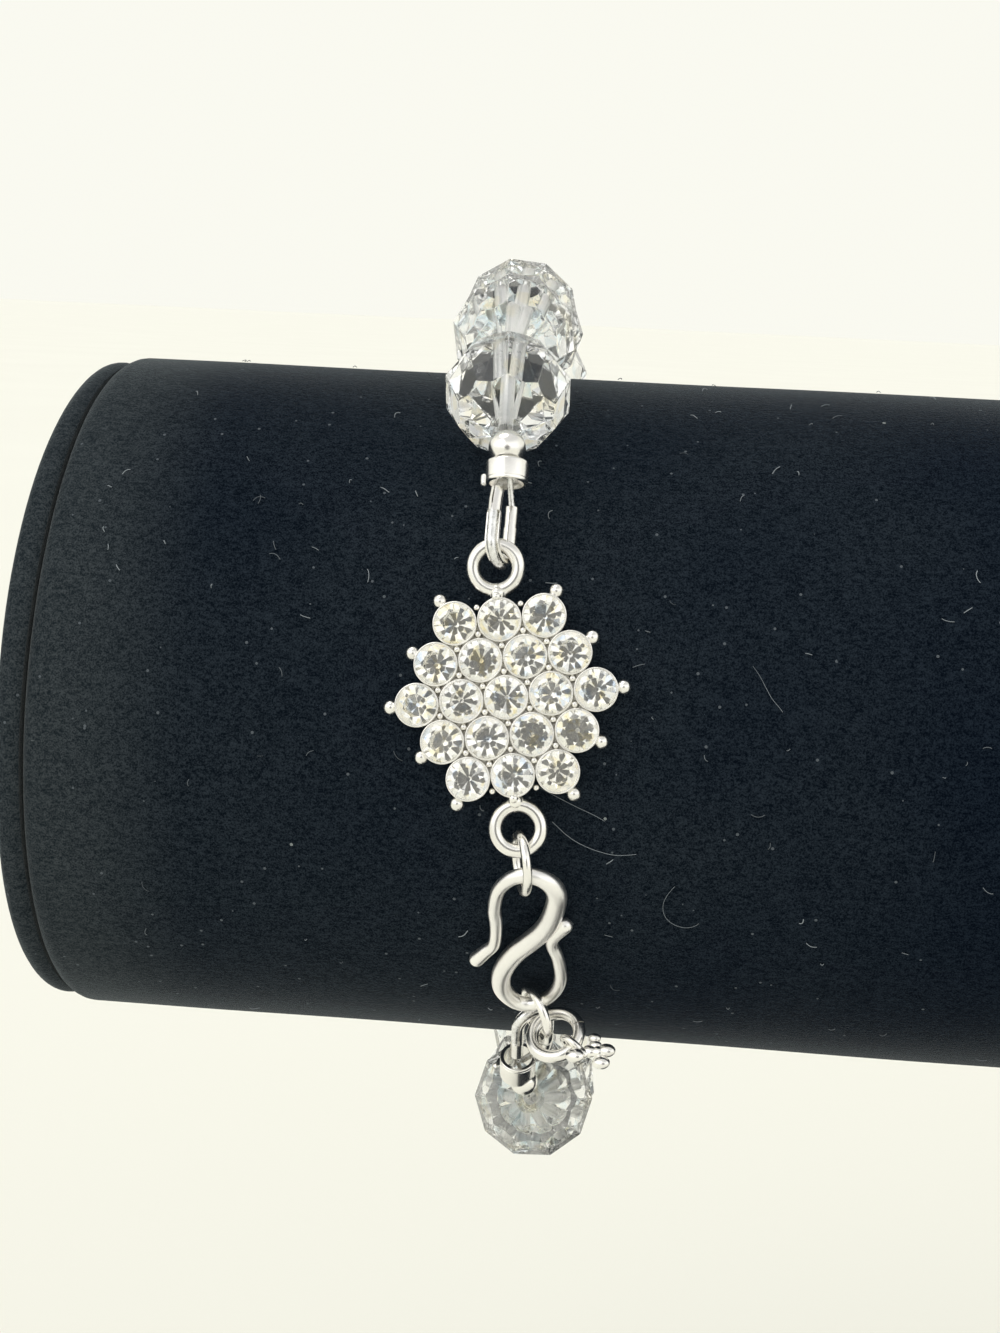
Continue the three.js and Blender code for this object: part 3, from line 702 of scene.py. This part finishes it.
def post_cover():
    """The post, with its top hollowed to sit under the roll."""
    bottom, slices = POST["bottom"], POST["slices"]
    height = AXIS_HEIGHT - bottom
    bm = rounded_block(POST, height)
    for k in range(1, slices):
        place = (0.0, (2 * k / slices - 1) * POST["depth"] / 2, 0.0)
        everything = bm.verts[:] + bm.edges[:] + bm.faces[:]
        bmesh.ops.bisect_plane(bm, geom=everything, plane_co=place, plane_no=(0.0, 1.0, 0.0))
    for vert in bm.verts:
        if vert.co.z > height / 2:
            vert.co.z = height - math.sqrt(POST["saddle"] ** 2 - vert.co.y ** 2)
    bmesh.ops.translate(bm, vec=(0.0, 0.0, bottom), verts=bm.verts)
    closed_up(bm)
    piece("post_cover", bm, [VELVET], ["stand_post"], 40)


def add_fibre(bm, place, sizes, picks):
    """Lays one curly fibre on the roll, from a place along it and an angle above its front."""
    along, around, length = place
    steps, curl = sizes["steps"], sizes["curl"]
    heading, bend = picks.uniform(0.0, math.tau), picks.uniform(-curl, curl) / steps
    x, arc_length = along, math.radians(around) * ROLL["radius"]
    points = []
    for k in range(steps + 1):
        a = arc_length / ROLL["radius"]
        lift = FIBRE_LIE["arch"] * math.sin(math.pi * k / steps)
        rise = ROLL["radius"] + FIBRE_LIE["clear"] + lift
        points.append(Vector((x, -rise * math.cos(a), AXIS_HEIGHT + rise * math.sin(a))))
        x += math.cos(heading) * length / steps
        arc_length += math.sin(heading) * length / steps
        heading += bend
        bend += picks.uniform(-FIBRE_LIE["sway"], FIBRE_LIE["sway"]) * curl / steps
    frames = path_frames(points)
    add(bm, sweep(round_section(4), frames, [sizes["radius"]] * len(frames)))


def lint():
    """Loose fibres on the velvet: many short ones and a few curly hairs by the flower."""
    picks = random.Random(SEEDS["lint"])
    half, around, lengths = LINT_SPREAD["half"], LINT_SPREAD["around"], LINT_SPREAD["length"]
    fibres = [
        (picks.uniform(-half, half), picks.uniform(*around), picks.uniform(*lengths))
        for _ in range(LINT_SPREAD["count"])
    ]
    bm = bmesh.new()
    for place in fibres:
        add_fibre(bm, place, FIBRE, picks)
    for place in HAIRS:
        add_fibre(bm, place, HAIR, picks)
    piece("lint", bm, [LINT], ["display_roll"])


# ---- String of beads ----


def on_loop(angle):
    """A place on the bead circle: 0 faces front and 90 is the top."""
    a = math.radians(angle)
    x = LOOP["mean"] + LOOP["swing"] * math.sin(math.radians(LOOP["phase"]) - a)
    return Vector((x, -LOOP["radius"] * math.cos(a), LOOP["radius"] * math.sin(a) - LOOP["drop"]))


def loop_direction(angle):
    return (on_loop(angle + 0.5) - on_loop(angle - 0.5)).normalized()


def bead_angle(i):
    return BEADS["first"] + (BEADS["last"] - BEADS["first"]) * i / (BEADS["count"] - 1)


def cut(bm, normal, reach):
    """Grinds one flat facet."""
    everything = bm.verts[:] + bm.edges[:] + bm.faces[:]
    made = bmesh.ops.bisect_plane(
        bm, geom=everything, dist=CLOSE, plane_co=normal * reach, plane_no=normal, clear_outer=True
    )
    edges = only(bmesh.types.BMEdge, made["geom_cut"])
    if len(edges) > 2:
        bmesh.ops.contextual_create(bm, geom=edges)


def facet_row(bm, folds, slope, reach, shift):
    """Grinds a row of facets round Z, at a slope above or below level."""
    level, rise = cos_sin(slope)
    for i in range(folds):
        a = math.tau * (i + shift) / folds
        cut(bm, Vector((math.cos(a) * level, math.sin(a) * level, rise)), reach)


def cut_bead():
    """A bead with a belt and a shoulder of facets on each side, and a hole along Z."""
    folds, half, girdle = BEAD["folds"], BEAD["half"], BEAD["girdle"]
    bm = bmesh.new()
    bmesh.ops.create_cube(bm, size=4 * girdle)
    cut(bm, Vector((0.0, 0.0, 1.0)), half)
    cut(bm, Vector((0.0, 0.0, -1.0)), half)
    belt = girdle * math.cos(math.pi / folds) * math.cos(math.radians(BEAD["belt_slope"]))
    for side in (1, -1):
        facet_row(bm, folds, side * BEAD["belt_slope"], belt, 0.0)
        facet_row(bm, folds, side * BEAD["shoulder_slope"], BEAD["shoulder_reach"], 0.5)
    closed_up(bm)
    round_edges(bm, bm.edges[:], BEAD["edge"], 1)
    drill(bm, half)
    return bm


def drill(bm, half):
    """Opens a straight hole along Z through a body with flat ends."""
    near_end, flat_on = half - 0.1, 0.999
    for side in (1, -1):
        flat = [
            f for f in bm.faces
            if f.normal.z * side > flat_on and f.calc_center_median().z * side > near_end
        ]
        bmesh.ops.delete(bm, geom=flat, context="FACES")
        bmesh.ops.subdivide_edges(bm, edges=open_rim(bm, side, near_end), cuts=1)
        mouth = bmesh.ops.extrude_edge_only(bm, edges=open_rim(bm, side, near_end))["geom"]
        for vert in only(bmesh.types.BMVert, mouth):
            vert.co.xy = vert.co.xy.normalized() * BEAD["hole"]
    rims = [e for e in bm.edges if e.is_boundary]
    scoring = bm.verts.layers.float.new(SCORING)
    marks = random.Random(SEEDS["scoring"])
    tones = [marks.random() for _ in range(2 * BEAD["folds"])]
    for vert in {v for e in rims for v in e.verts}:
        turn = math.atan2(vert.co.y, vert.co.x) / math.tau * len(tones)
        vert[scoring] = tones[round(turn) % len(tones)]
    for face in bmesh.ops.bridge_loops(bm, edges=rims)["faces"]:
        face.material_index = 1
    bmesh.ops.recalc_face_normals(bm, faces=bm.faces)


def open_rim(bm, side, height):
    return [e for e in bm.edges if e.is_boundary and e.verts[0].co.z * side > height]


def bead_place(i):
    """A bead's place on the string; its hole runs along Z before it is placed."""
    angle = bead_angle(i)
    lie = Vector((0.0, 1.0, 0.0)).rotation_difference(loop_direction(angle)).to_matrix().to_4x4()
    roll = Matrix.Rotation(math.radians(i * BEAD["turn"]), 4, "Y")
    stand = Matrix.Rotation(-math.pi / 2, 4, "X")
    return BRACELET @ Matrix.Translation(on_loop(angle)) @ lie @ roll @ stand


def beads():
    pattern = cut_bead()
    for i in range(BEADS["count"]):
        bm = pattern.copy()
        bm.transform(bead_place(i))
        number = f"{i + 1:02d}"
        piece(f"bead_{number}", bm, [CRYSTAL, DRILLED], [f"crystal_bead_{number}"])
    pattern.free()


def bead_end(angle, end):
    """One end of a bead's hole and the direction back into the bead."""
    direction = loop_direction(angle)
    return on_loop(angle) + direction * end * BEAD["half"], -direction * end


def string_end(bead, ring_place, ring_tangent, end):
    """Frames of the ball, crimp and guard between the last bead and the ring they hang from."""
    hole, inward = bead
    along = (hole - ring_place).normalized()
    side = (ring_tangent - along * ring_tangent.dot(along)).normalized()
    side.rotate(Quaternion(along, math.radians(end["twist"])))
    outward = side.cross(along)
    between = (inward + along * end["lean"]).normalized()
    ball_at = hole - between * end["ball"] + Vector(end["ball_shift"])
    crimp_at = hole - along * end["crimp"] + Vector(end["crimp_shift"])
    hoop = ring_place + along * end["pull"]
    c, s = cos_sin(end["rock"])
    guard_up = along * c - outward * s
    guard_out = outward * c + along * s
    return {
        "ball": axes(outward, side, outward.cross(side), ball_at),
        "crimp": axes(side, outward, side.cross(outward), crimp_at),
        "along": along,
        "guard": axes(guard_out, guard_up.cross(guard_out), guard_up, hoop),
        "arc": end["arc"],
        "leg": end["leg"],
    }


def spacer_ball(suffix, setup, radius):
    mouth = math.degrees(math.acos(BALL["hole"] / radius))
    bm = lathe(arc((0.0, 0.0), radius, -mouth, mouth, 28), 40, closed=True)
    bm.transform(BRACELET @ setup["ball"])
    piece(f"ball_{suffix}", bm, [SILVER], [f"spacer_ball_{suffix}"], 40)


def points_up(setup):
    """Whether the crimp's Z leads away from the guard."""
    return setup["crimp"].col[2].to_3d().dot(setup["along"]) > 0


def crimp(suffix, setup, size):
    """A short tube with round edges and a groove near its mouth."""
    radius, near, far = size["radius"], CRIMP["mouth_edge"], CRIMP["far_edge"]
    bore = radius - CRIMP["wall"]
    low, high = CRIMP["half"] + size["mouth"], CRIMP["half"] + size["far"]
    mouth_edge = arc((radius - near, near - low), near, -90, 0, 4)
    groove = [(radius - depth, rise - low) for depth, rise in CRIMP_GROOVE]
    far_edge = arc((radius - far, high - far), far, 0, 90, 6)
    bm = lathe([(bore, -low), *mouth_edge, *groove, *far_edge, (bore, high)], 48, closed=True)
    flip = Matrix.Identity(4) if points_up(setup) else Matrix.Rotation(math.pi, 4, "X")
    bm.transform(BRACELET @ setup["crimp"] @ flip)
    piece(f"crimp_{suffix}", bm, [SILVER], [f"crimp_tube_{suffix}"], 30)


def guard_route(setup, out=0.0):
    """The U of a guard, from the top of its outer leg round the arc to the top of its inner leg."""
    size, reach, steps = setup["arc"], setup["arc"] + out, 28
    front, back = setup["leg"] + GUARD["front"], setup["leg"] + GUARD["back"]
    bend = [
        (reach * math.cos(math.pi * k / steps), -reach * math.sin(math.pi * k / steps))
        for k in range(steps + 1)
    ]
    outer_leg = [
        (size - GUARD["mouth_in"], front), (size - GUARD["neck_in"], front * 0.75),
        (reach, front * 0.5), (reach, front * 0.25),
    ]
    inner_leg = [(-reach, back * 0.25), (-reach, back * 0.5), (-size, back * 0.75), (-size, back)]
    rows = [*outer_leg, *bend, *inner_leg]
    return [setup["guard"] @ Vector((across, 0.0, up)) for across, up in rows]


def channel_section(sizes):
    """A gutter's section with its opening towards +X, as a share of its outer radius."""
    half = sizes["opening"] / 2
    outside = arc((0.0, 0.0), 1.0, half, 360 - half, 20)
    inside = arc((0.0, 0.0), sizes["inner"], 360 - half, half, 20)
    return outside + inside


def wire_guard(suffix, setup):
    """Two short tubes joined by an open gutter round the ring."""
    frames = path_frames(guard_route(setup), setup["guard"].col[0].to_3d())
    split = GUARD["collar_steps"]
    lengths = (
        (GUTTER, frames[split:-split]), (COLLAR, frames[:split + 1]), (COLLAR, frames[-split - 1:]),
    )
    bm = bmesh.new()
    for sizes, stations in lengths:
        widths = [GUARD["tube"] * sizes["size"]] * len(stations)
        add(bm, sweep(channel_section(sizes), stations, widths))
    bm.transform(BRACELET)
    piece(f"guard_{suffix}", bm, [SILVER], [f"wire_guard_{suffix}"], 35)


def string_wire(upper, lower):
    """The wire through the beads, with a loop in each guard and a cut end beside the top crimp."""
    bm = bmesh.new()
    through = [bead_end(bead_angle(i), end)[0] for i in range(BEADS["count"]) for end in (-1, 1)]
    route = [
        upper["crimp"].translation, upper["ball"].translation, *through,
        lower["ball"].translation, lower["crimp"].translation,
    ]
    points = smooth_path(route, 5)
    add(bm, rod(points, [STRING["radius"]] * len(points), 10))
    for setup in (upper, lower):
        mouth = setup["crimp"].translation
        side = setup["guard"].col[0].to_3d() * STRING["apart"]
        loop = [mouth + side, *guard_route(setup, GUARD["bulge"]), mouth - side]
        thin = STRING["ends"]
        between = [GUARD["strand"]] * (len(loop) - 2 * len(thin))
        add(bm, rod(loop, [*thin, *between, *reversed(thin)], 14))
    crimp_frame, out = upper["crimp"], CRIMPS["top"]["radius"] + TAIL["out"]
    down = -1 if points_up(upper) else 1
    tail = [crimp_frame @ Vector((-out, TAIL["side"], down * drop)) for drop in TAIL["drops"]]
    add(bm, rod(tail, TAIL["radii"], 12))
    bm.transform(BRACELET)
    piece("string_wire", bm, [WIRE], ["beading_wire"], 50)


# ---- Flower setting and stones ----

FLOWER_FRONT, FLOWER_UP = cos_sin(FLOWER["angle"])
FLOWER_Z = Vector((0.0, -FLOWER_FRONT, FLOWER_UP))
FLOWER_X = Quaternion(FLOWER_Z, math.radians(FLOWER["lean"])) @ Vector((1.0, 0.0, 0.0))
FLOWER_Y = FLOWER_Z.cross(FLOWER_X)
FLOWER_ORIGIN = Vector((FLOWER["x"], 0.0, 0.0)) + FLOWER_Z * FLOWER["back"]
FLOWER_FRAME = axes(FLOWER_X, FLOWER_Y, FLOWER_Z, FLOWER_ORIGIN)


def stone_places():
    """Places on a hexagonal grid: rows of 3, 4, 5, 4 and 3."""
    pitch, rows = FLOWER["pitch"], FLOWER["rows"]
    places = []
    for row in range(rows, -rows - 1, -1):
        count = 2 * rows + 1 - abs(row)
        for i in range(count):
            places.append(((i - (count - 1) / 2) * pitch, row * pitch * math.sin(math.pi / 3)))
    return places


def cut_stone():
    """A round stone: crown facets round a flat table and foiled facets below."""
    girdle, low, high = STONE["girdle"], STONE["low"], STONE["high"]
    table, culet, folds = STONE["table"], STONE["culet"], STONE["folds"]
    bm = bmesh.new()
    middle = Matrix.Translation((0.0, 0.0, (table + culet) / 2))
    bmesh.ops.create_cone(
        bm, cap_ends=True, segments=32, radius1=girdle, radius2=girdle,
        depth=table - culet, matrix=middle,
    )
    rise = math.atan2(girdle - STONE["table_radius"], table - high)
    crown_reach = girdle * math.cos(rise) + high * math.sin(rise)
    facet_row(bm, folds, math.degrees(rise), crown_reach, 0.5)
    fall = math.radians(90 - STONE["pavilion"])
    pavilion_reach = girdle * math.cos(fall) - low * math.sin(fall)
    facet_row(bm, folds, -math.degrees(fall), pavilion_reach, 0.0)
    closed_up(bm)
    foiled_below = 0.2
    for face in bm.faces:
        face.material_index = 1 if face.normal.z < foiled_below else 0
    return bm


def stones():
    """The stones, each turned and set a little askew about the middle of its girdle."""
    pattern = cut_stone()
    tilts = random.Random(SEEDS["stones"])
    tilt = STONE["tilt"]
    for i, (x, y) in enumerate(stone_places()):
        turn = Matrix.Rotation(math.radians(STONE["turn"] * i), 4, "Z")
        lean = Matrix.Rotation(math.radians(tilts.uniform(-tilt, tilt)), 4, "X")
        lean @= Matrix.Rotation(math.radians(tilts.uniform(-tilt, tilt)), 4, "Y")
        seat = Matrix.Translation((x, y, STONE["low"])) @ lean @ turn
        bm = pattern.copy()
        bm.transform(BRACELET @ FLOWER_FRAME @ seat @ Matrix.Translation((0.0, 0.0, -STONE["low"])))
        number = f"{i + 1:02d}"
        piece(f"stone_{number}", bm, [STONE_GLASS, FOIL], [f"rhinestone_{number}"])
    pattern.free()


def stone_cup():
    """A thin-walled cup whose rim closes round the stone."""
    slope, outer = math.tan(math.radians(STONE["pavilion"])), CUP["seat"][0]
    seat = [(r, STONE["low"] - (outer - r) * slope - CUP["seat_gap"]) for r in CUP["seat"]]
    rim = arc(CUP["rim"], CUP["rim_radius"], -20, 200, 9)
    outside = [(0.0, 0.0), (CUP["base"], 0.0), CUP["foot"], CUP["wall"]]
    return lathe([*outside, *rim, CUP["lip"], *seat, (0.0, seat[1][1])], 40)


def tip_places():
    """Places of the small balls round the flower, by turns at its corners and its sides."""
    for i in range(TIP["count"]):
        reach = TIP["side"] if i % 2 else TIP["corner"]
        a = math.tau * i / TIP["count"]
        yield reach * math.cos(a), reach * math.sin(a)


def gap_places():
    """Middles of the small gaps where three cups meet."""
    reach = FLOWER["pitch"] / math.sqrt(3.0)
    found = {}
    for x, y in stone_places():
        for k in range(6):
            a = math.radians(30 + 60 * k)
            gap = (x + reach * math.cos(a), y + reach * math.sin(a))
            found.setdefault((round(gap[0], 2), round(gap[1], 2)), []).append(gap)
    return [met[0] for met in found.values() if len(met) == 3]


def setting():
    """One soldered piece: plate, cups, fillings and tips, with a ring and its lug at each end."""
    bm = bmesh.new()
    plate, thickness = bmesh.new(), PLATE["thickness"]
    bmesh.ops.create_cone(
        plate, cap_ends=True, segments=6, radius1=PLATE["radius"], radius2=PLATE["radius"],
        depth=thickness, matrix=Matrix.Translation((0.0, 0.0, thickness / 2)),
    )
    add(bm, plate)
    spread = (
        (stone_cup(), stone_places(), 0.0),
        (ball(FILLING["radius"], 12, FILLING["stretch"]), gap_places(), FILLING["height"]),
        (ball(TIP["radius"], 24), tip_places(), TIP["height"]),
    )
    for part, places, height in spread:
        for x, y in places:
            add(bm, part, Matrix.Translation((x, y, height)))
    ring = torus(SETTING_RING["mid"], SETTING_RING["wire"], 28, 72)
    lug = ball(LUG["radius"], 24, LUG["stretch"])
    claw = ball(CLAW["radius"], 20)
    grain = ball(GRAIN["radius"], 16)
    at_each_end = (
        (ring, 0.0, SETTING_RING["distance"], SETTING_RING["wire"]),
        (lug, 0.0, LUG["reach"], LUG["height"]),
        (claw, CLAW["side"], CLAW["reach"], CLAW["height"]),
        (grain, -GRAIN["side"], GRAIN["reach"], GRAIN["height"]),
        (grain, GRAIN["side"], GRAIN["reach"], GRAIN["height"]),
    )
    for sign in (1, -1):
        for part, side, reach, height in at_each_end:
            add(bm, part, Matrix.Translation((side, sign * reach, height)))
    bm.transform(BRACELET @ FLOWER_FRAME)
    piece("setting", bm, [SILVER], ["flower_setting"], 35)


def on_setting_ring(turn):
    """A place on the setting's upper ring, 90 being its top, and the wire's direction there."""
    c, s = cos_sin(turn)
    up = SETTING_RING["distance"] + SETTING_RING["mid"] * s
    place = FLOWER_FRAME @ Vector((SETTING_RING["mid"] * c, up, SETTING_RING["wire"]))
    return place, FLOWER_X * s - FLOWER_Y * c


# ---- Hook, loose rings and charm ----


def ring_frame(row):
    x = Vector(row["first"]).normalized()
    z = x.cross(Vector(row["second"])).normalized()
    return axes(x, z.cross(x), z, row["centre"])


def on_ring(row, turn):
    """A place on a loose ring's wire and the wire's direction there."""
    c, s = cos_sin(turn)
    made = ring_frame(row)
    place = made @ Vector((row["mid"] * c, row["mid"] * s, 0.0))
    return place, made.to_3x3() @ Vector((-s, c, 0.0))


def loose_ring(node, row):
    """A round wire bent to a ring, with the hairline where its ends meet."""
    start, end = row["join"] + RING_GAP, row["join"] + 360 - RING_GAP
    points = [Vector((*place, 0.0)) for place in arc((0.0, 0.0), row["mid"], start, end, 72)]
    frames = path_frames(points, Vector((0.0, 0.0, 1.0)))
    bm = sweep(round_section(20), frames, [row["wire"]] * len(frames))
    bm.transform(BRACELET @ ring_frame(row))
    piece(f"{node}_wire", bm, [SILVER], [node], 40)


def hook():
    """A flat S of round wire, thicker in the middle and at its tips."""
    c, s = cos_sin(HOOK["angle"])
    out, up = Vector((0.0, -c, s)), Vector((0.0, s, c))
    centre = Vector((HOOK["x"], 0.0, 0.0)) + out * HOOK["distance"] + up * HOOK["rise"]
    rows = smooth_path([Vector(row) for row in HOOK_ROWS], 6)
    points = [centre + Vector((x, 0.0, 0.0)) + up * height for x, height, _ in rows]
    bm = rod(points, [radius for _, _, radius in rows], 28, out)
    bm.transform(BRACELET)
    piece("hook", bm, [SATIN], ["s_hook"], 60)


def charm():
    """Rounded petals on a bail that hangs on its ring."""
    row = RINGS["charm_ring"]
    bm = bmesh.new()
    stand = Matrix.Rotation(math.radians(CHARM["turn"]), 4, "Z") @ Matrix.Rotation(math.pi / 2, 4, "X")
    add(bm, torus(CHARM["mid"], CHARM["wire"], 14, 36), stand)
    for x, y, z, radius in PETALS:
        add(bm, ball(radius, 20, CHARM["stretch"]), Matrix.Translation((x, y, z)))
    place = ring_frame(row)
    place.translation = on_ring(row, CHARM["turn"])[0]
    bm.transform(BRACELET @ place)
    piece("charm", bm, [SILVER], ["flower_charm"], 40)


# ---- Studio and camera, in metres ----

CAMERA_PLACE = Vector((-0.05032, -0.1723, 0.15558))
CAMERA_RIGHT = Vector((0.99512, 0.08732, 0.046))
CAMERA_UP = Vector((-0.06031, 0.16912, 0.98375))
CAMERA_FORWARD = Vector((-0.07812, 0.98172, -0.17356))
LENS = {"length": 54.0, "sensor": 36.0, "near": 0.01, "far": 200.0}

FLOOR_RADIUS = 40.0
CARD = {"aim": (-0.061, -0.029, 0.122), "behind": 0.36, "radius": 0.102}
LIGHTS = (
    ("overhead", 0.6, (-0.3, 0.1, 1.0), 36.0, (1.0, 0.99, 0.96)),
    ("window", 0.25, (-0.7, -0.75, 0.8), 40.0, (1.0, 0.995, 0.97)),
)
CREAM = (0.956, 0.952, 0.875, 1.0)
SKY_PARTS = (
    ("Y", 0.45, -0.35, (1.24, 1.24, 1.21, 1.0)),
    ("Z", 0.5, 0.85, (0.72, 0.72, 0.71, 1.0)),
    ("Z", 0.22, 0.03, CREAM),
)


def light(name, energy, direction, angle, colour):
    lamp = bpy.data.lights.new(name, "SUN")
    lamp.energy, lamp.angle, lamp.color = energy, math.radians(angle), colour
    made = bpy.data.objects.new(name, lamp)
    made.rotation_euler = Vector(direction).to_track_quat("Z", "Y").to_euler()
    scene.collection.objects.link(made)


def floor():
    paper = Finish("white_paper", Specular_IOR_Level=0.1)
    mottle = paper.noise(3.0, 2.0)
    tone = paper.blend(mottle.ramp(0.3, 0.7), (0.868, 0.862, 0.787), (0.855, 0.848, 0.774))
    material = paper.shade(Base_Color=tone, Roughness=0.85 + mottle * 0.1)
    bm = bmesh.new()
    bmesh.ops.create_circle(bm, cap_ends=True, segments=96, radius=FLOOR_RADIUS)
    made = object_of("floor", bm, [material])


def dark_card():
    """A dark card behind the camera, which only gloss and glass can see."""
    felt = Finish("black_card", Roughness=0.9, Specular_IOR_Level=0.0)
    tone = felt.blend(felt.noise(60.0), (0.15, 0.15, 0.155), (0.25, 0.25, 0.26))
    material = felt.shade(Base_Color=tone)
    aim = Vector(CARD["aim"])
    towards = (CAMERA_PLACE - aim).normalized()
    turn = towards.to_track_quat("Z", "Y").to_matrix().to_4x4()
    bm = bmesh.new()
    bmesh.ops.create_circle(bm, cap_ends=True, segments=40, radius=CARD["radius"])
    bm.transform(Matrix.Translation(aim + towards * CARD["behind"]) @ turn)
    card = object_of("black_card", bm, [material])
    card.visible_camera = card.visible_diffuse = card.visible_shadow = False


def camera():
    lens = bpy.data.cameras.new("camera")
    lens.lens, lens.sensor_width = LENS["length"], LENS["sensor"]
    lens.clip_start, lens.clip_end = LENS["near"], LENS["far"]
    made = bpy.data.objects.new("camera", lens)
    made.matrix_world = axes(CAMERA_RIGHT, CAMERA_UP, -CAMERA_FORWARD, CAMERA_PLACE)
    scene.collection.objects.link(made)
    scene.camera = made


def world():
    """Cream all round, whiter in front of the stand and dimmer overhead."""
    sky = bpy.data.worlds.new("studio")
    sky.use_nodes = True
    tree = sky.node_tree
    direction = tree.nodes.new("ShaderNodeTexCoord")
    parts = tree.nodes.new("ShaderNodeSeparateXYZ")
    tree.links.new(direction.outputs["Generated"], parts.inputs[0])
    tone = None
    for axis, start, end, colour in SKY_PARTS:
        share = tree.nodes.new("ShaderNodeMapRange")
        share.interpolation_type = "SMOOTHSTEP"
        share.inputs["From Min"].default_value = start
        share.inputs["From Max"].default_value = end
        tree.links.new(parts.outputs[axis], share.inputs[0])
        mixed = tree.nodes.new("ShaderNodeMix")
        mixed.data_type = "RGBA"
        mixed.inputs[6].default_value, mixed.inputs[7].default_value = CREAM, colour
        tree.links.new(share.outputs[0], mixed.inputs[0])
        if tone:
            tree.links.new(tone, mixed.inputs[6])
        tone = mixed.outputs[2]
    tree.links.new(tone, tree.nodes["Background"].inputs["Color"])
    scene.world = sky


camera()
world()
floor()
dark_card()
for lamp_row in LIGHTS:
    light(*lamp_row)

roll_cover()
roll_end("left", -1)
roll_end("right", 1)
base_cover()
post_cover()
lint()
beads()

upper_ring = on_setting_ring(ENDS["top"]["turn"])
upper_end = string_end(bead_end(BEADS["first"], -1), *upper_ring, ENDS["top"])
lower_ring = on_ring(RINGS["jump_ring_bottom"], ENDS["bottom"]["turn"])
lower_end = string_end(bead_end(BEADS["last"], 1), *lower_ring, ENDS["bottom"])
for suffix, setup in (("top", upper_end), ("bottom", lower_end)):
    spacer_ball(suffix, setup, BALL[suffix])
    crimp(suffix, setup, CRIMPS[suffix])
    wire_guard(suffix, setup)
string_wire(upper_end, lower_end)

setting()
stones()
for node, row in RINGS.items():
    loose_ring(node, row)
hook()
charm()

scene.view_settings.view_transform = "Standard"
scene.view_settings.look = "None"
scene.cycles.max_bounces = 24
scene.cycles.transmission_bounces = 20
scene.cycles.glossy_bounces = 12
